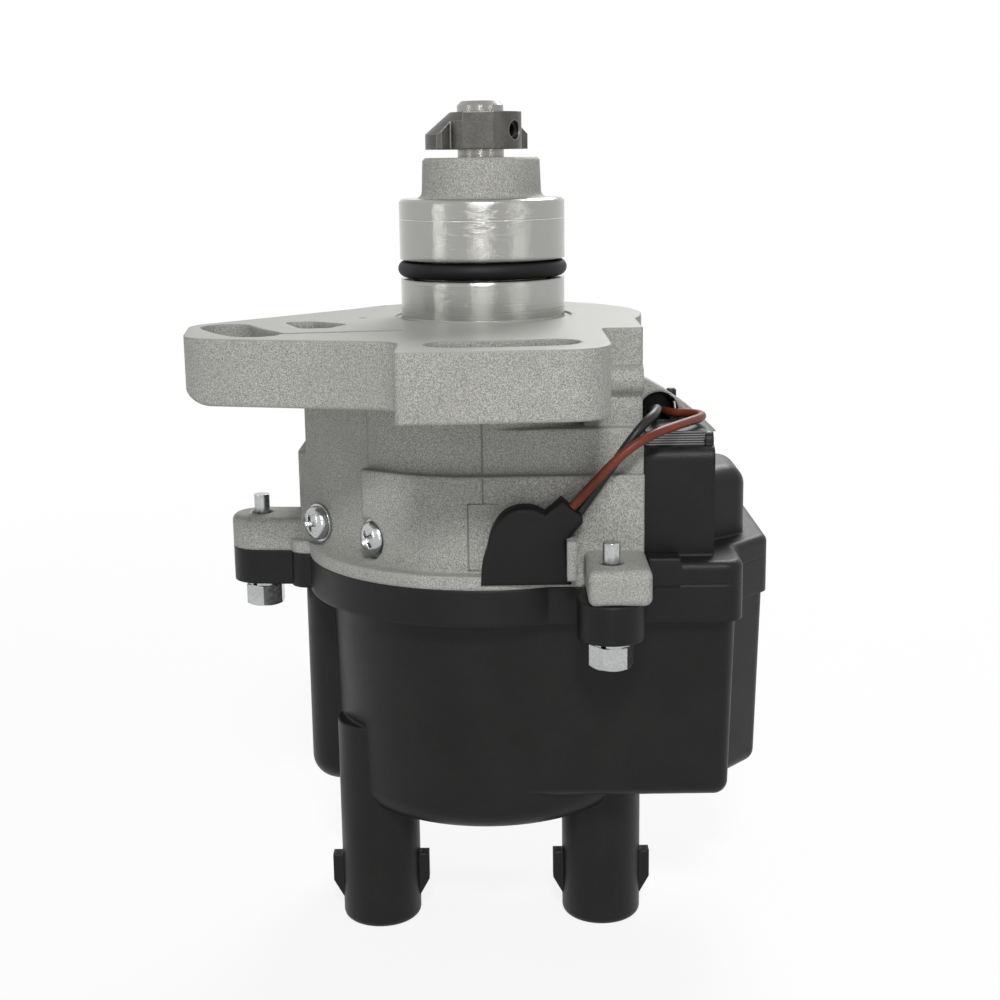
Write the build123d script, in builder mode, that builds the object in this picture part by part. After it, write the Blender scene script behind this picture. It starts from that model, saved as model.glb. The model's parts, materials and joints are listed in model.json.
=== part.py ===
# Ignition distributor for a four cylinder engine, with the coil built in.
# Origin: on the shaft's axis, in the flange's mounting face. +Z points to the drive coupling.
# +X points to the coil, -Y to the long pad of the timing flange. Millimetres.
import os
from math import atan2, cos, degrees, hypot, radians, sin, sqrt, tan

from build123d import *

os.makedirs("parts", exist_ok=True)

# Clearances
running_gap = 0.03        # radial, a shaft in its bush
lip_gap = 0.06            # radial, a seal's lip or a cup round something that turns
face_gap = 0.3            # between faces that turn past each other
air_gap = 0.8             # between a rotor and what it passes
bolt_gap = 0.3            # radial, a screw in its clearance hole
fitted_gap = 0.15         # a cover or block in its recess

# Pilot that enters the engine
pilot_r = 18.0
pilot_top = 25.3
pilot_chamfer = 0.6
groove_bottom = 8.3
groove_top = 12.5
groove_r = 14.9
seat_land_r = 17.9
relief_r = 19.4
relief_depth = 0.4
boss_r = 12.7
boss_top = 33.9
boss_draft = 0.3
boss_foot_r = 1.6
o_ring_proud = 0.45

# Shaft and coupling
shaft_r = 5.0
shaft_top = 45.7
shaft_chamfer = 0.9
coupling_bottom = 35.6
coupling_height = 7.8
hub_r = 8.85
hub_flat = 8.2            # axis to the milled flat
hub_flat_turn = -4.0
dog_r = 12.0
dog_width = 7.0
dog_offset = -2.3         # the dogs lie beside the axis, so the shaft goes in one way only
dog_turn = 37.0
dog_slope_r = 6.6         # where the slope of the dogs starts
dog_slope_drop = 4.6
pin_turn = -33.0
pin_r = 2.0
pin_recess = 1.0

# Timing flange
flange_thickness = 13.2
round_r = 34.7            # of the housing where it leaves the flange
block_side = 32.4         # right face of the casting's block under the flange
slot_radius = 57.0
slot_width = 11.0
front_slot_middle = -86.0
front_slot_sweep = 18.6
side_slot_middle = 208.5
side_slot_sweep = 17.0
lobe_round = 8.5          # under the lobe's left end
flange_edge_r = 1.4
pocket_depth = 8.0
oil_channel_width = 2.0
oil_channel_depth = 1.5

# Housing under the flange
wall = 3.6
band_top = -29.3
band_step = 2.0           # the lower band stands out from the upper wall
lip_thickness = 2.8
joint_z = -52.1           # where the housing meets the cap
lip_reach = 40.0
lip_over = 2.6            # the lip stands out from the lobe
square_top = -20.0        # the wall is square at the right front below this
lobe_side = 41.5
lobe_front = -16.0
joint_lobe_front = -6.6
lobe_back = 24.0
pad_distance = 33.6       # axis to the flat that carries the side screws
pad_angle = 222.0         # direction that this flat faces
pad_start = -2.0          # along the flat, from the axis' foot
pad_inner_start = -9.0    # the same inside the chamber
coil_side = 32.4          # flat right side that carries the coil housing
chamber_top = -17.2
ear_height = 7.3
ear_r = 6.8
roof_top = -12.6
roof_drop = 3.0           # the roof's rear part lies lower
roof_step = -8.0
roof_end = 50.0
roof_front = -13.0
roof_back = 24.0
arch_centre_x = 37.6
arch_r = 4.2
arch_top = -15.8
arch_depth = 14.0
rib_centre_z = -10.4
rib_r = 2.9

# Bolts of the cap, as X and Y
cap_bolt_places = [(-51.3, 4.3), (25.0, -47.2), (18.0, 48.2)]
cap_bolt_r = 2.45
cap_bolt_dog_r = 1.75
cap_bolt_tip = -40.6
front_ear_side = 32.6
front_ear_start = 20.1
front_ear_front = -54.0
front_ear_back = -36.0
front_web_width = 11.0
ear_edge_r = 1.5
bolt_head_height = 4.8
bolt_head_flats = 8.0
bolt_head_turns = [30.0, 8.0, 0.0]
bolt_head_chamfer = 0.5
bolt_washer_r = 4.6
bolt_washer_thickness = 1.3

# Bush, seal and ball bearing
bush_r = 7.5
bush_bottom = 14.0
seal_r = 11.0
seal_bottom = 1.0
seal_height = 6.5
bearing_r = 11.0
bearing_width = 6.0
race_thickness = 1.75
ball_r = 1.5
ball_play = 0.03
ball_count = 9
retainer_r = 17.0
retainer_thickness = 1.5
screw_circle_r = 13.8
retainer_angles = [0.0, 120.0, 240.0]
m3_r = 1.5
m3_reach = 7.0            # of the thread in the casting
m3_head_r = 2.8
m3_head_height = 2.0

# Signal rotors and pickups
sleeve_r = 7.2
speed_rotor_r = 20.0
speed_rotor_top = -26.0
rotor_thickness = 5.0
tooth_count = 24
tooth_depth = 2.4
position_rotor_r = 17.0
position_rotor_top = -33.5
position_lobes = 4
snap_ring_thickness = 1.0
pickup_width = 11.0
pickup_height = 9.0
speed_pickup_angle = 80.0
position_pickup_angle = 157.0
pickup_screw_circle = 26.4

# Dust cover and spark rotor
cover_thickness = 1.5
cover_bottom = -50.6
cover_post_r = 3.2
cover_post_circle = 28.0
cover_post_angles = [30.0, 115.0, 265.0]
carrier_r = 11.0
carrier_bottom = -63.5
carrier_thickness = 3.5
rotor_arm_reach = 18.6
rotor_arm_bottom = -84.0
rotor_arm_width = 11.0
rotor_angle = 45.0
strip_overhang = 2.1      # of the rotor's metal strip beyond its arm
electrode_r = 2.5
strip_thickness = 1.4
strip_width = 6.0

# Cap
cap_wall = 3.0
rim_bottom = -60.0
cap_r = 35.0
cap_bottom = -107.7
cap_floor = -98.0
cap_edge_r = 5.5
cap_draft = 1.0
box_draft = 1.6
box_edge_r = 3.0
cap_lobe_front = -5.0
box_front = -35.0
rim_front = -37.9
box_side = 52.0
box_back = 25.5
box_bottom = -100.0
shoulder_side = 60.4
seal_inset = 0.9          # from the cap's inner wall
seal_width = 1.7
seal_height_in_cap = 1.4
rim_step = 1.0            # the rim stands out from the box under it
tower_r = 8.8
tower_bottom = -135.4
tower_lead = 1.6
front_towers = (25.0, -13.3)
rear_towers = (26.4, 13.3)
socket_r = 5.4
socket_length = 20.0
cup_r = 3.8
cup_wall = 0.9
cup_length = 7.0
wing_reach = 10.9
wing_lead = 3.0           # from the tower's mouth to its wings
wing_height = 11.8
wing_taper = 6.2
wing_thickness = 3.0
brush_r = 2.2
brush_length = 7.0
brush_travel = 2.0
brush_post_r = 5.2
spring_wire_r = 0.25

# Coil housing on the right side
coil_box_front = -32.2
coil_box_side = 47.3
coil_box_top = -24.6
coil_box_back = 22.0
coil_lip_top = -47.4
coil_lip_front = -37.9
coil_lip_edge_r = 1.6
coil_wall = 2.2
shell_side = 56.5
shell_slant = (47.3, -20.0)
shell_front = -12.5
shell_back = 6.0
shell_top = -32.2
shell_r = 5.0
strip_top = -22.0         # of the wall beside the core
strip_side_thickness = 1.8
core_layers = 4
core_layer = 0.75
core_front = -29.4
core_back = -14.0
coil_screw_places = [(-24.0, -38.0), (12.0, -38.0)]
coil_screw_reach = 4.0
coil_gap = 1.0            # between the winding and what is round it

# Igniter and its screws, along the flat from the foot of the axis
igniter_screw_places = [-3.4, 17.0]
igniter_screw_z = -44.2
igniter_head_r = 3.4
igniter_head_height = 2.4
igniter_head_dome = 1.4
igniter_washer_thickness = 0.8
small_screw_r = 1.9

# Boot and leads
boot_base_z = -51.2
boot_front = -40.9
lead_r = 0.95
lead_bend_share = 0.45

o_ring_section_r = (pilot_r + o_ring_proud - groove_r) / 2
pad_dir = Vector(cos(radians(pad_angle)), sin(radians(pad_angle)), 0)
pad_along = Vector(sin(radians(pad_angle)), -cos(radians(pad_angle)), 0)


def keep(piece, label):
    """Names a finished piece and writes it."""
    piece.part.label = label
    export_step(piece.part, f"parts/{label}.step")


def around(radius, angle):
    """The point at this radius and this angle in degrees."""
    return (radius * cos(radians(angle)), radius * sin(radians(angle)))


def near(sketch, x, y):
    """The sketch's corner nearest to a point."""
    return sketch.vertices().sort_by_distance(Vector(x, y, 0))[0]


# Outlines, each drawn into the sketch that is open
def flange_outline():
    pad_left = (-15.6, -69.3)
    pad_right = (24.1, -66.9)
    pad_root = (24.0, -31.4)
    block_front = (block_side, -31.4)
    block_back = (block_side, sqrt(round_r**2 - block_side**2))
    lobe_root = (-29.8, 17.7)
    lobe_rear = (-61.8, -15.5)
    lobe_tip = (-58.8, -41.0)
    lobe_notch = (-15.6, -51.5)
    corners = [pad_left, pad_right, pad_root, block_front, block_back, lobe_root, lobe_rear, lobe_tip, lobe_notch]
    with BuildSketch(mode=Mode.PRIVATE) as plate:
        with BuildLine():
            Polyline(*corners, close=True)
        make_face()
        for place, radius in (
            (pad_left, 1.0),
            (pad_right, 8.5),
            (pad_root, 1.5),
            (block_front, 1.5),
            (lobe_rear, 9.0),
            (lobe_tip, 9.0),
            (lobe_notch, 6.0),
        ):
            fillet(near(plate, *place), radius)
    add(plate.sketch)


def wall_outline(grow, square=False, start=pad_start, flat=pad_distance):
    """The housing's plan: round, with a lobe at the left and a flat for the side screws."""
    lobe_width = lobe_side - band_step + grow
    with BuildSketch(mode=Mode.PRIVATE) as plan:
        Circle(round_r + grow)
        if square:
            with Locations((coil_side / 2, -(round_r + grow) / 2)):
                Rectangle(coil_side, round_r + grow)
        with Locations((-lobe_width / 2, (lobe_front + lobe_back) / 2)):
            Rectangle(lobe_width, lobe_back - lobe_front + 2 * grow)
        fillet(near(plan, -lobe_width, lobe_back + grow), 7.0)
    far = 40.0
    first = pad_dir * flat + pad_along * start
    last = pad_dir * flat + pad_along * far
    corners = [first, first + pad_dir * far, last + pad_dir * far, last]
    with BuildSketch(mode=Mode.PRIVATE) as cut:
        with BuildLine():
            Polyline(*[(c.X, c.Y) for c in corners], close=True)
        make_face()
    add(plan.sketch)
    add(cut.sketch, mode=Mode.SUBTRACT)


def trim_right(inset=0.0):
    """Cuts the open sketch off at the flat right side."""
    with Locations((coil_side - inset + 50, 0)):
        Rectangle(100, 200, mode=Mode.SUBTRACT)


def chamber_outline(inset=0.0):
    """The inside of the housing and of the cap above its floor."""
    wall_outline(-wall - inset, start=pad_inner_start, flat=pad_distance - band_step - wall - inset)
    trim_right(wall + inset)


def seal_outline():
    """The seal's band round the inside of the cap."""
    with BuildSketch(mode=Mode.PRIVATE) as inner:
        chamber_outline(-seal_inset)
    chamber_outline(-seal_inset - seal_width)
    add(inner.sketch, mode=Mode.SUBTRACT)


def joint_outline():
    """The outline that the housing's lip and the cap's rim share."""
    side = lobe_side + lip_over
    with BuildSketch(mode=Mode.PRIVATE) as plan:
        Circle(lip_reach)
        with Locations((-side / 2, (joint_lobe_front + lobe_back + lip_over) / 2)):
            Rectangle(side, lobe_back + lip_over - joint_lobe_front)
        with Locations((coil_side / 2, rim_front / 2)):
            Rectangle(coil_side, -rim_front)
        fillet(near(plan, -side, lobe_back + lip_over), 8.0)
        fillet(near(plan, -side, joint_lobe_front), 4.0)
    add(plan.sketch)


def ears(places):
    """Ears round the cap's bolts at these places, each reaching in to the round wall."""
    for x, y in places:
        with Locations((x, y)):
            Circle(ear_r)
        reach = hypot(x, y)
        turn = degrees(atan2(y, x))
        with Locations(Location((x * 0.75, y * 0.75), turn)):
            Rectangle(reach / 2, 2 * ear_r)


def box_outline(front, grow, corner_r):
    """The coil side of the cap, seen from above, with its stepped out rear part."""
    side = box_side + grow
    shoulder = shoulder_side + grow
    back = box_back + grow
    corners = [(0, front), (side, front), (side, -23.5), (shoulder, -14.0), (shoulder, back), (0, back)]
    with BuildSketch(mode=Mode.PRIVATE) as plan:
        with BuildLine():
            Polyline(*corners, close=True)
        make_face()
        for x, y in corners[1:-1]:
            fillet(near(plan, x, y), corner_r)
    add(plan.sketch)


# Spark path inside the cap: electrode, strap through the floor and cup in the tower
electrode_circle = rotor_arm_reach + strip_overhang + air_gap + electrode_r
electrode_places = [around(electrode_circle, a) for a in (-45, 45, 135, 225)]
tower_places = [front_towers, rear_towers, (-rear_towers[0], rear_towers[1]), (-front_towers[0], front_towers[1])]
strap_top = cap_floor - 2.0
strap_thickness = 2.0
electrode_top = rotor_arm_bottom + 1.5
socket_end = tower_bottom + socket_length
cup_end = socket_end + cup_length
pickup_screw_places = [around(pickup_screw_circle, a) for a in (speed_pickup_angle, position_pickup_angle)]

with BuildPart() as cap_electrodes:
    for (ex, ey), (tx, ty) in zip(electrode_places, tower_places):
        with BuildSketch(Plane.XY.offset(strap_top - strap_thickness)):
            with Locations((ex, ey)):
                Circle(electrode_r)
        extrude(amount=electrode_top - strap_top + strap_thickness)
        length = hypot(tx - ex, ty - ey)
        turn = degrees(atan2(ty - ey, tx - ex))
        with BuildSketch(Plane.XY.offset(strap_top - strap_thickness)):
            with Locations(Location(((ex + tx) / 2, (ey + ty) / 2), turn)):
                SlotCenterToCenter(length, 2 * electrode_r)
        extrude(amount=strap_thickness)
        with BuildSketch(Plane.XY.offset(cup_end)):
            with Locations((tx, ty)):
                Circle(electrode_r)
        extrude(amount=strap_top - cup_end)
keep(cap_electrodes, "cap_electrodes")

with BuildPart() as tower_terminals:
    for place in tower_places:
        with BuildSketch(Plane.XY.offset(socket_end)):
            with Locations(place):
                Circle(cup_r)
        extrude(amount=cup_length)
        with BuildSketch(Plane.XY.offset(socket_end)):
            with Locations(place):
                Circle(cup_r - cup_wall)
        extrude(amount=cup_length - cup_wall, mode=Mode.SUBTRACT)
keep(tower_terminals, "tower_terminals")

# Cast forms of the housing that have rounded edges of their own
with BuildPart() as timing_flange:
    with BuildSketch(Plane.XY.offset(-flange_thickness)):
        flange_outline()
    extrude(amount=flange_thickness)
    with BuildSketch(Plane.XZ) as lobe_corner:
        with Locations((-lobe_side - 10 - lobe_round, -flange_thickness)):
            Rectangle(20, 2 * lobe_round)
        with Locations((-lobe_side - lobe_round - 3.3, lobe_round - flange_thickness)):
            Circle(lobe_round, mode=Mode.SUBTRACT)
            Rectangle(2 * lobe_round, 2 * lobe_round, align=(Align.MIN, Align.CENTER), mode=Mode.SUBTRACT)
    extrude(amount=100, both=True, mode=Mode.SUBTRACT)

with BuildPart() as ear_lugs:
    with BuildSketch(Plane.XY.offset(joint_z)):
        ears([cap_bolt_places[0], cap_bolt_places[2]])
    extrude(amount=ear_height)
    fillet(ear_lugs.edges().group_by(Axis.Z)[-1], ear_edge_r)

with BuildPart() as front_ear:
    with BuildSketch(Plane.XY.offset(joint_z)):
        with Locations(((front_ear_start + front_ear_side) / 2, (front_ear_front + front_ear_back) / 2)):
            Rectangle(front_ear_side - front_ear_start, front_ear_back - front_ear_front)
    extrude(amount=ear_height)
    fillet(front_ear.edges().filter_by(lambda e: e.center().Y < front_ear_back - 1), ear_edge_r)

# Housing casting
with BuildPart() as housing:
    # pilot with its groove and the boss, turned about the axis
    with BuildSketch(Plane.XZ) as pilot_half:
        with BuildLine():
            Polyline(
                (0, -flange_thickness),
                (seat_land_r, -flange_thickness),
                (seat_land_r, groove_bottom),
                (groove_r, groove_bottom),
                (groove_r, groove_top),
                (pilot_r, groove_top),
                (pilot_r, pilot_top - pilot_chamfer),
                (pilot_r - pilot_chamfer, pilot_top),
                (boss_r + boss_draft, pilot_top),
                (boss_r, boss_top - pilot_chamfer),
                (boss_r - pilot_chamfer, boss_top),
                (0, boss_top),
                close=True,
            )
        make_face()
        fillet(near(pilot_half, boss_r + boss_draft, pilot_top), boss_foot_r)
    revolve(axis=Axis.Z)
    # timing flange
    with BuildSketch(Plane.XY.offset(-flange_thickness)):
        Circle(round_r)
    extrude(amount=flange_thickness)
    add(timing_flange.part)
    # upper wall, then the band that stands out from it
    with BuildSketch(Plane.XY.offset(band_top)):
        wall_outline(0)
        trim_right()
    extrude(amount=-flange_thickness - band_top)
    with BuildSketch(Plane.XY.offset(band_top)):
        wall_outline(0, square=True)
        trim_right()
    extrude(amount=square_top - band_top)
    with BuildSketch(Plane.XY.offset(joint_z)):
        wall_outline(band_step, square=True)
        trim_right()
    extrude(amount=band_top - joint_z)
    # block under the flange at the right
    block_back = sqrt(round_r**2 - block_side**2)
    with BuildSketch(Plane.XY.offset(joint_z + lip_thickness)):
        with Locations((block_side - 6, (block_back - 31.4) / 2)):
            Rectangle(12, block_back + 31.4)
    extrude(amount=-joint_z - lip_thickness)
    # half round rib across the block's front
    with BuildSketch(Plane.YZ.offset(22.0)):
        with Locations((-31.4, rib_centre_z)):
            Circle(rib_r)
    extrude(amount=block_side - 22.0)
    # lip round the joint with the cap, and its three ears
    with BuildSketch(Plane.XY.offset(joint_z)):
        joint_outline()
        trim_right()
    extrude(amount=lip_thickness)
    add(ear_lugs.part)
    add(front_ear.part)
    # small fin beside the front ear
    with BuildSketch(Plane.XY.offset(joint_z + lip_thickness)):
        with Locations((17.4, -40.4)):
            Rectangle(2.0, 7.4)
    extrude(amount=8.0)
    # roof over the coil's back, sloping down to the right
    for start, end, drop in ((roof_front, roof_step, 0), (roof_step, roof_back, roof_drop)):
        with BuildSketch(Plane.XZ.offset(-start)):
            with BuildLine():
                Line((coil_side - 3, coil_box_top), (coil_side - 3, roof_top - drop))
                Line((coil_side - 3, roof_top - drop), (coil_side + 1.5, roof_top - drop))
                ThreePointArc((coil_side + 1.5, roof_top - drop), (41.0, -16.9 - drop), (roof_end - drop, coil_box_top))
                Line((roof_end - drop, coil_box_top), (coil_side - 3, coil_box_top))
            make_face()
        extrude(amount=start - end)
    # chamber for the rotors, open to the cap
    with BuildSketch(Plane.XY.offset(joint_z)):
        chamber_outline()
    extrude(amount=chamber_top - joint_z, mode=Mode.SUBTRACT)
    # posts for the dust cover
    with BuildSketch(Plane.XY.offset(cover_bottom + cover_thickness)):
        with Locations(*[around(cover_post_circle, a) for a in cover_post_angles]):
            Circle(cover_post_r)
    extrude(amount=chamber_top - cover_bottom - cover_thickness)
    with BuildSketch(Plane.XY.offset(cover_bottom)):
        with Locations(*[around(cover_post_circle, a) for a in cover_post_angles]):
            Circle(m3_r)
    extrude(amount=cover_thickness + m3_reach, mode=Mode.SUBTRACT)
    # seats of the bush, the seal and the bearing along the axis
    with BuildSketch(Plane.XY.offset(chamber_top)):
        Circle(bearing_r)
    extrude(amount=bearing_width, mode=Mode.SUBTRACT)
    with BuildSketch(Plane.XY.offset(chamber_top)):
        Circle(bearing_r - 2)
    extrude(amount=seal_bottom - chamber_top, mode=Mode.SUBTRACT)
    with BuildSketch(Plane.XY.offset(seal_bottom)):
        Circle(seal_r)
    extrude(amount=seal_height, mode=Mode.SUBTRACT)
    with BuildSketch(Plane.XY.offset(seal_bottom)):
        Circle(bush_r)
    extrude(amount=boss_top - seal_bottom + 1, mode=Mode.SUBTRACT)
    # threads of the screws in the chamber's roof
    with BuildSketch(Plane.XY.offset(chamber_top)):
        with Locations(*[around(screw_circle_r, a) for a in retainer_angles]):
            Circle(m3_r)
        with Locations(*pickup_screw_places):
            Circle(m3_r)
    extrude(amount=m3_reach, mode=Mode.SUBTRACT)
    # threads of the coil's screws
    for y, z in coil_screw_places:
        with BuildSketch(Plane.YZ.offset(coil_side)):
            with Locations((y, z)):
                Circle(small_screw_r)
        extrude(amount=-coil_screw_reach, mode=Mode.SUBTRACT)
    # relief ring at the pilot's foot
    with BuildSketch(Plane.XY):
        Circle(relief_r)
        Circle(seat_land_r, mode=Mode.SUBTRACT)
    extrude(amount=-relief_depth, mode=Mode.SUBTRACT)
    # timing slots
    with BuildSketch(Plane.XY):
        for middle, sweep_angle in (
            (front_slot_middle, front_slot_sweep),
            (side_slot_middle, side_slot_sweep),
        ):
            start = middle - sweep_angle / 2
            SlotArc(CenterArc((0, 0), slot_radius, start, sweep_angle, mode=Mode.PRIVATE), slot_width)
    extrude(amount=-flange_thickness, mode=Mode.SUBTRACT)
    # weight saving pocket and oil channel in the mounting face
    with BuildSketch(Plane.XY) as pocket:
        with BuildLine():
            Polyline((-42.6, -11.5), (-36.5, -10.5), (-28.4, -17.0), (-31.5, -24.5), (-37.5, -25.0), close=True)
        make_face()
        fillet(pocket.vertices(), 1.8)
    extrude(amount=-pocket_depth, mode=Mode.SUBTRACT)
    channel_start = (-39.5, -34.2)
    channel_end = (-17.0, -30.9)
    channel_length = hypot(channel_end[0] - channel_start[0], channel_end[1] - channel_start[1])
    channel_turn = degrees(atan2(channel_end[1] - channel_start[1], channel_end[0] - channel_start[0]))
    channel_middle = ((channel_start[0] + channel_end[0]) / 2, (channel_start[1] + channel_end[1]) / 2)
    with BuildSketch(Plane.XY):
        with Locations(Location(channel_middle, channel_turn)):
            SlotCenterToCenter(channel_length, oil_channel_width)
    extrude(amount=-oil_channel_depth, mode=Mode.SUBTRACT)
    # threads of the cap's bolts
    with BuildSketch(Plane.XY.offset(joint_z)):
        with Locations(*cap_bolt_places):
            Circle(cap_bolt_r)
    extrude(amount=ear_height + 5, mode=Mode.SUBTRACT)
    # arch where the leads go in over the coil
    with BuildSketch(Plane.XZ.offset(-roof_front)):
        with Locations((arch_centre_x, (coil_box_top + arch_top - arch_r) / 2)):
            Rectangle(2 * arch_r, arch_top - arch_r - coil_box_top)
        with Locations((arch_centre_x, arch_top - arch_r)):
            Circle(arch_r)
    extrude(amount=-arch_depth, mode=Mode.SUBTRACT)
    # seats and threads of the igniter's screws
    for along in igniter_screw_places:
        seat = pad_dir * pad_distance + pad_along * along + Vector(0, 0, igniter_screw_z)
        with BuildSketch(Plane(origin=seat, x_dir=pad_along, z_dir=pad_dir)):
            Circle(igniter_head_r + 1.2)
        extrude(amount=8, mode=Mode.SUBTRACT)
        with BuildSketch(Plane(origin=seat, x_dir=pad_along, z_dir=pad_dir)):
            Circle(small_screw_r + bolt_gap)
        extrude(amount=-wall - band_step, mode=Mode.SUBTRACT)
keep(housing, "housing")

with BuildPart() as pilot_o_ring:
    with BuildSketch(Plane.XZ):
        with Locations((groove_r + o_ring_section_r, (groove_bottom + groove_top) / 2)):
            Circle(o_ring_section_r)
    revolve(axis=Axis.Z)
keep(pilot_o_ring, "pilot_o_ring")

with BuildPart() as shaft_bush:
    bush_top = boss_top - 0.5
    with BuildSketch(Plane.XY.offset(bush_bottom)):
        Circle(bush_r)
        Circle(shaft_r + running_gap, mode=Mode.SUBTRACT)
    extrude(amount=bush_top - bush_bottom)
    chamfer(shaft_bush.edges().group_by(Axis.Z)[-1], 0.4)
keep(shaft_bush, "shaft_bush")

with BuildPart() as oil_seal:
    seal_top = seal_bottom + seal_height
    lip_r = shaft_r + lip_gap
    with BuildSketch(Plane.XZ):
        with BuildLine():
            Polyline(
                (seal_r, seal_bottom),
                (seal_r, seal_top),
                (seal_r - 1.2, seal_top),
                (seal_r - 1.2, seal_bottom + 1.8),
                (lip_r + 2.1, seal_bottom + 1.8),
                (lip_r + 1.5, seal_top - 1.1),
                (lip_r, seal_top - 1.9),
                (lip_r, seal_top - 2.3),
                (lip_r + 0.9, seal_bottom),
                close=True,
            )
        make_face()
    revolve(axis=Axis.Z)
keep(oil_seal, "oil_seal")

# Ball bearing under the flange
inner_race_r = shaft_r + race_thickness
outer_race_r = bearing_r - race_thickness
ball_circle = (inner_race_r + outer_race_r) / 2
bearing_z = chamber_top + bearing_width / 2
ball_places = [around(ball_circle, 360 * n / ball_count) for n in range(ball_count)]


def race(outer, inner):
    """A bearing race in the open part, with the groove that the balls run in."""
    with BuildSketch(Plane.XY.offset(chamber_top)) as ring:
        Circle(outer)
        Circle(inner, mode=Mode.SUBTRACT)
    extrude(ring.sketch, amount=bearing_width)
    with BuildSketch(Plane.XZ) as groove:
        with Locations((ball_circle, bearing_z)):
            Circle(ball_r + ball_play)
    revolve(groove.sketch, axis=Axis.Z, mode=Mode.SUBTRACT)


with BuildPart() as bearing_outer_race:
    race(bearing_r, outer_race_r)
keep(bearing_outer_race, "bearing_outer_race")

with BuildPart() as bearing_inner_race:
    race(inner_race_r, shaft_r)
keep(bearing_inner_race, "bearing_inner_race")

with BuildPart() as bearing_balls:
    with Locations(*[(x, y, bearing_z) for x, y in ball_places]):
        Sphere(ball_r)
keep(bearing_balls, "bearing_balls")

with BuildPart() as bearing_cage:
    with BuildSketch(Plane.XY.offset(bearing_z - ball_r - 0.5)):
        Circle(ball_circle + 0.7)
        Circle(ball_circle - 0.7, mode=Mode.SUBTRACT)
    extrude(amount=2 * ball_r + 1.0)
    for x, y in ball_places:
        with BuildSketch(Plane(origin=(x, y, bearing_z), x_dir=(0, 0, 1), z_dir=(x, y, 0))):
            Circle(ball_r + ball_play)
        extrude(amount=1.2, both=True, mode=Mode.SUBTRACT)
keep(bearing_cage, "bearing_cage")

with BuildPart() as bearing_retainer:
    with BuildSketch(Plane.XY.offset(chamber_top - retainer_thickness)):
        Circle(retainer_r)
        Circle(bearing_r - 2.0, mode=Mode.SUBTRACT)
        with Locations(*[around(screw_circle_r, a) for a in retainer_angles]):
            Circle(m3_r + bolt_gap, mode=Mode.SUBTRACT)
    extrude(amount=retainer_thickness)
keep(bearing_retainer, "bearing_retainer")


def m3_screw(x, y, seat, reach):
    """An M3 pan head screw put in upwards, its head under the seat."""
    with BuildSketch(Plane.XY.offset(seat - m3_head_height)) as head:
        with Locations((x, y)):
            Circle(m3_head_r)
    extrude(head.sketch, amount=m3_head_height)
    with BuildSketch(Plane.XY.offset(seat)) as shank:
        with Locations((x, y)):
            Circle(m3_r)
    extrude(shank.sketch, amount=reach)
    with BuildSketch(Plane.XY.offset(seat - m3_head_height)) as cross:
        with Locations((x, y)):
            Rectangle(2.6, 0.7)
            Rectangle(0.7, 2.6)
    extrude(cross.sketch, amount=m3_head_height * 0.6, mode=Mode.SUBTRACT)


with BuildPart() as retainer_screws:
    for angle in retainer_angles:
        m3_screw(*around(screw_circle_r, angle), chamber_top - retainer_thickness, retainer_thickness + m3_reach - 0.5)
keep(retainer_screws, "retainer_screws")

# Shaft with its carrier disc, and what turns with it
carrier_top = carrier_bottom + carrier_thickness
spigot_r = 4.0
spigot_bottom = carrier_bottom - 6.5
position_rotor_bottom = position_rotor_top - rotor_thickness
snap_groove_r = shaft_r - 0.4
arm_screw_circle = 8.6
arm_screw_places = [around(arm_screw_circle, rotor_angle + a) for a in (90, 270)]
arm_foot = 3.5

with BuildPart() as distributor_shaft:
    with BuildSketch(Plane.XZ):
        with BuildLine():
            Polyline(
                (0, spigot_bottom),
                (spigot_r, spigot_bottom),
                (spigot_r, carrier_bottom),
                (carrier_r, carrier_bottom),
                (carrier_r, carrier_top),
                (shaft_r, carrier_top),
                (shaft_r, position_rotor_bottom - snap_ring_thickness),
                (snap_groove_r, position_rotor_bottom - snap_ring_thickness),
                (snap_groove_r, position_rotor_bottom),
                (shaft_r, position_rotor_bottom),
                (shaft_r, chamber_top + bearing_width),
                (snap_groove_r, chamber_top + bearing_width),
                (snap_groove_r, chamber_top + bearing_width + snap_ring_thickness),
                (shaft_r, chamber_top + bearing_width + snap_ring_thickness),
                (shaft_r, shaft_top - shaft_chamfer),
                (shaft_r - shaft_chamfer, shaft_top),
                (0, shaft_top),
                close=True,
            )
        make_face()
    revolve(axis=Axis.Z)
    # hole for the cross pin
    pin_dir = Vector(*around(1, pin_turn), 0)
    pin_z = coupling_bottom + coupling_height / 2
    with BuildSketch(Plane(origin=(0, 0, pin_z), x_dir=(0, 0, 1), z_dir=pin_dir)):
        Circle(pin_r)
    extrude(amount=2 * shaft_r, both=True, mode=Mode.SUBTRACT)
    # threads for the rotor's screws
    with BuildSketch(Plane.XY.offset(carrier_bottom)):
        with Locations(*arm_screw_places):
            Circle(m3_r)
    extrude(amount=carrier_thickness, mode=Mode.SUBTRACT)
keep(distributor_shaft, "distributor_shaft")

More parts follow.
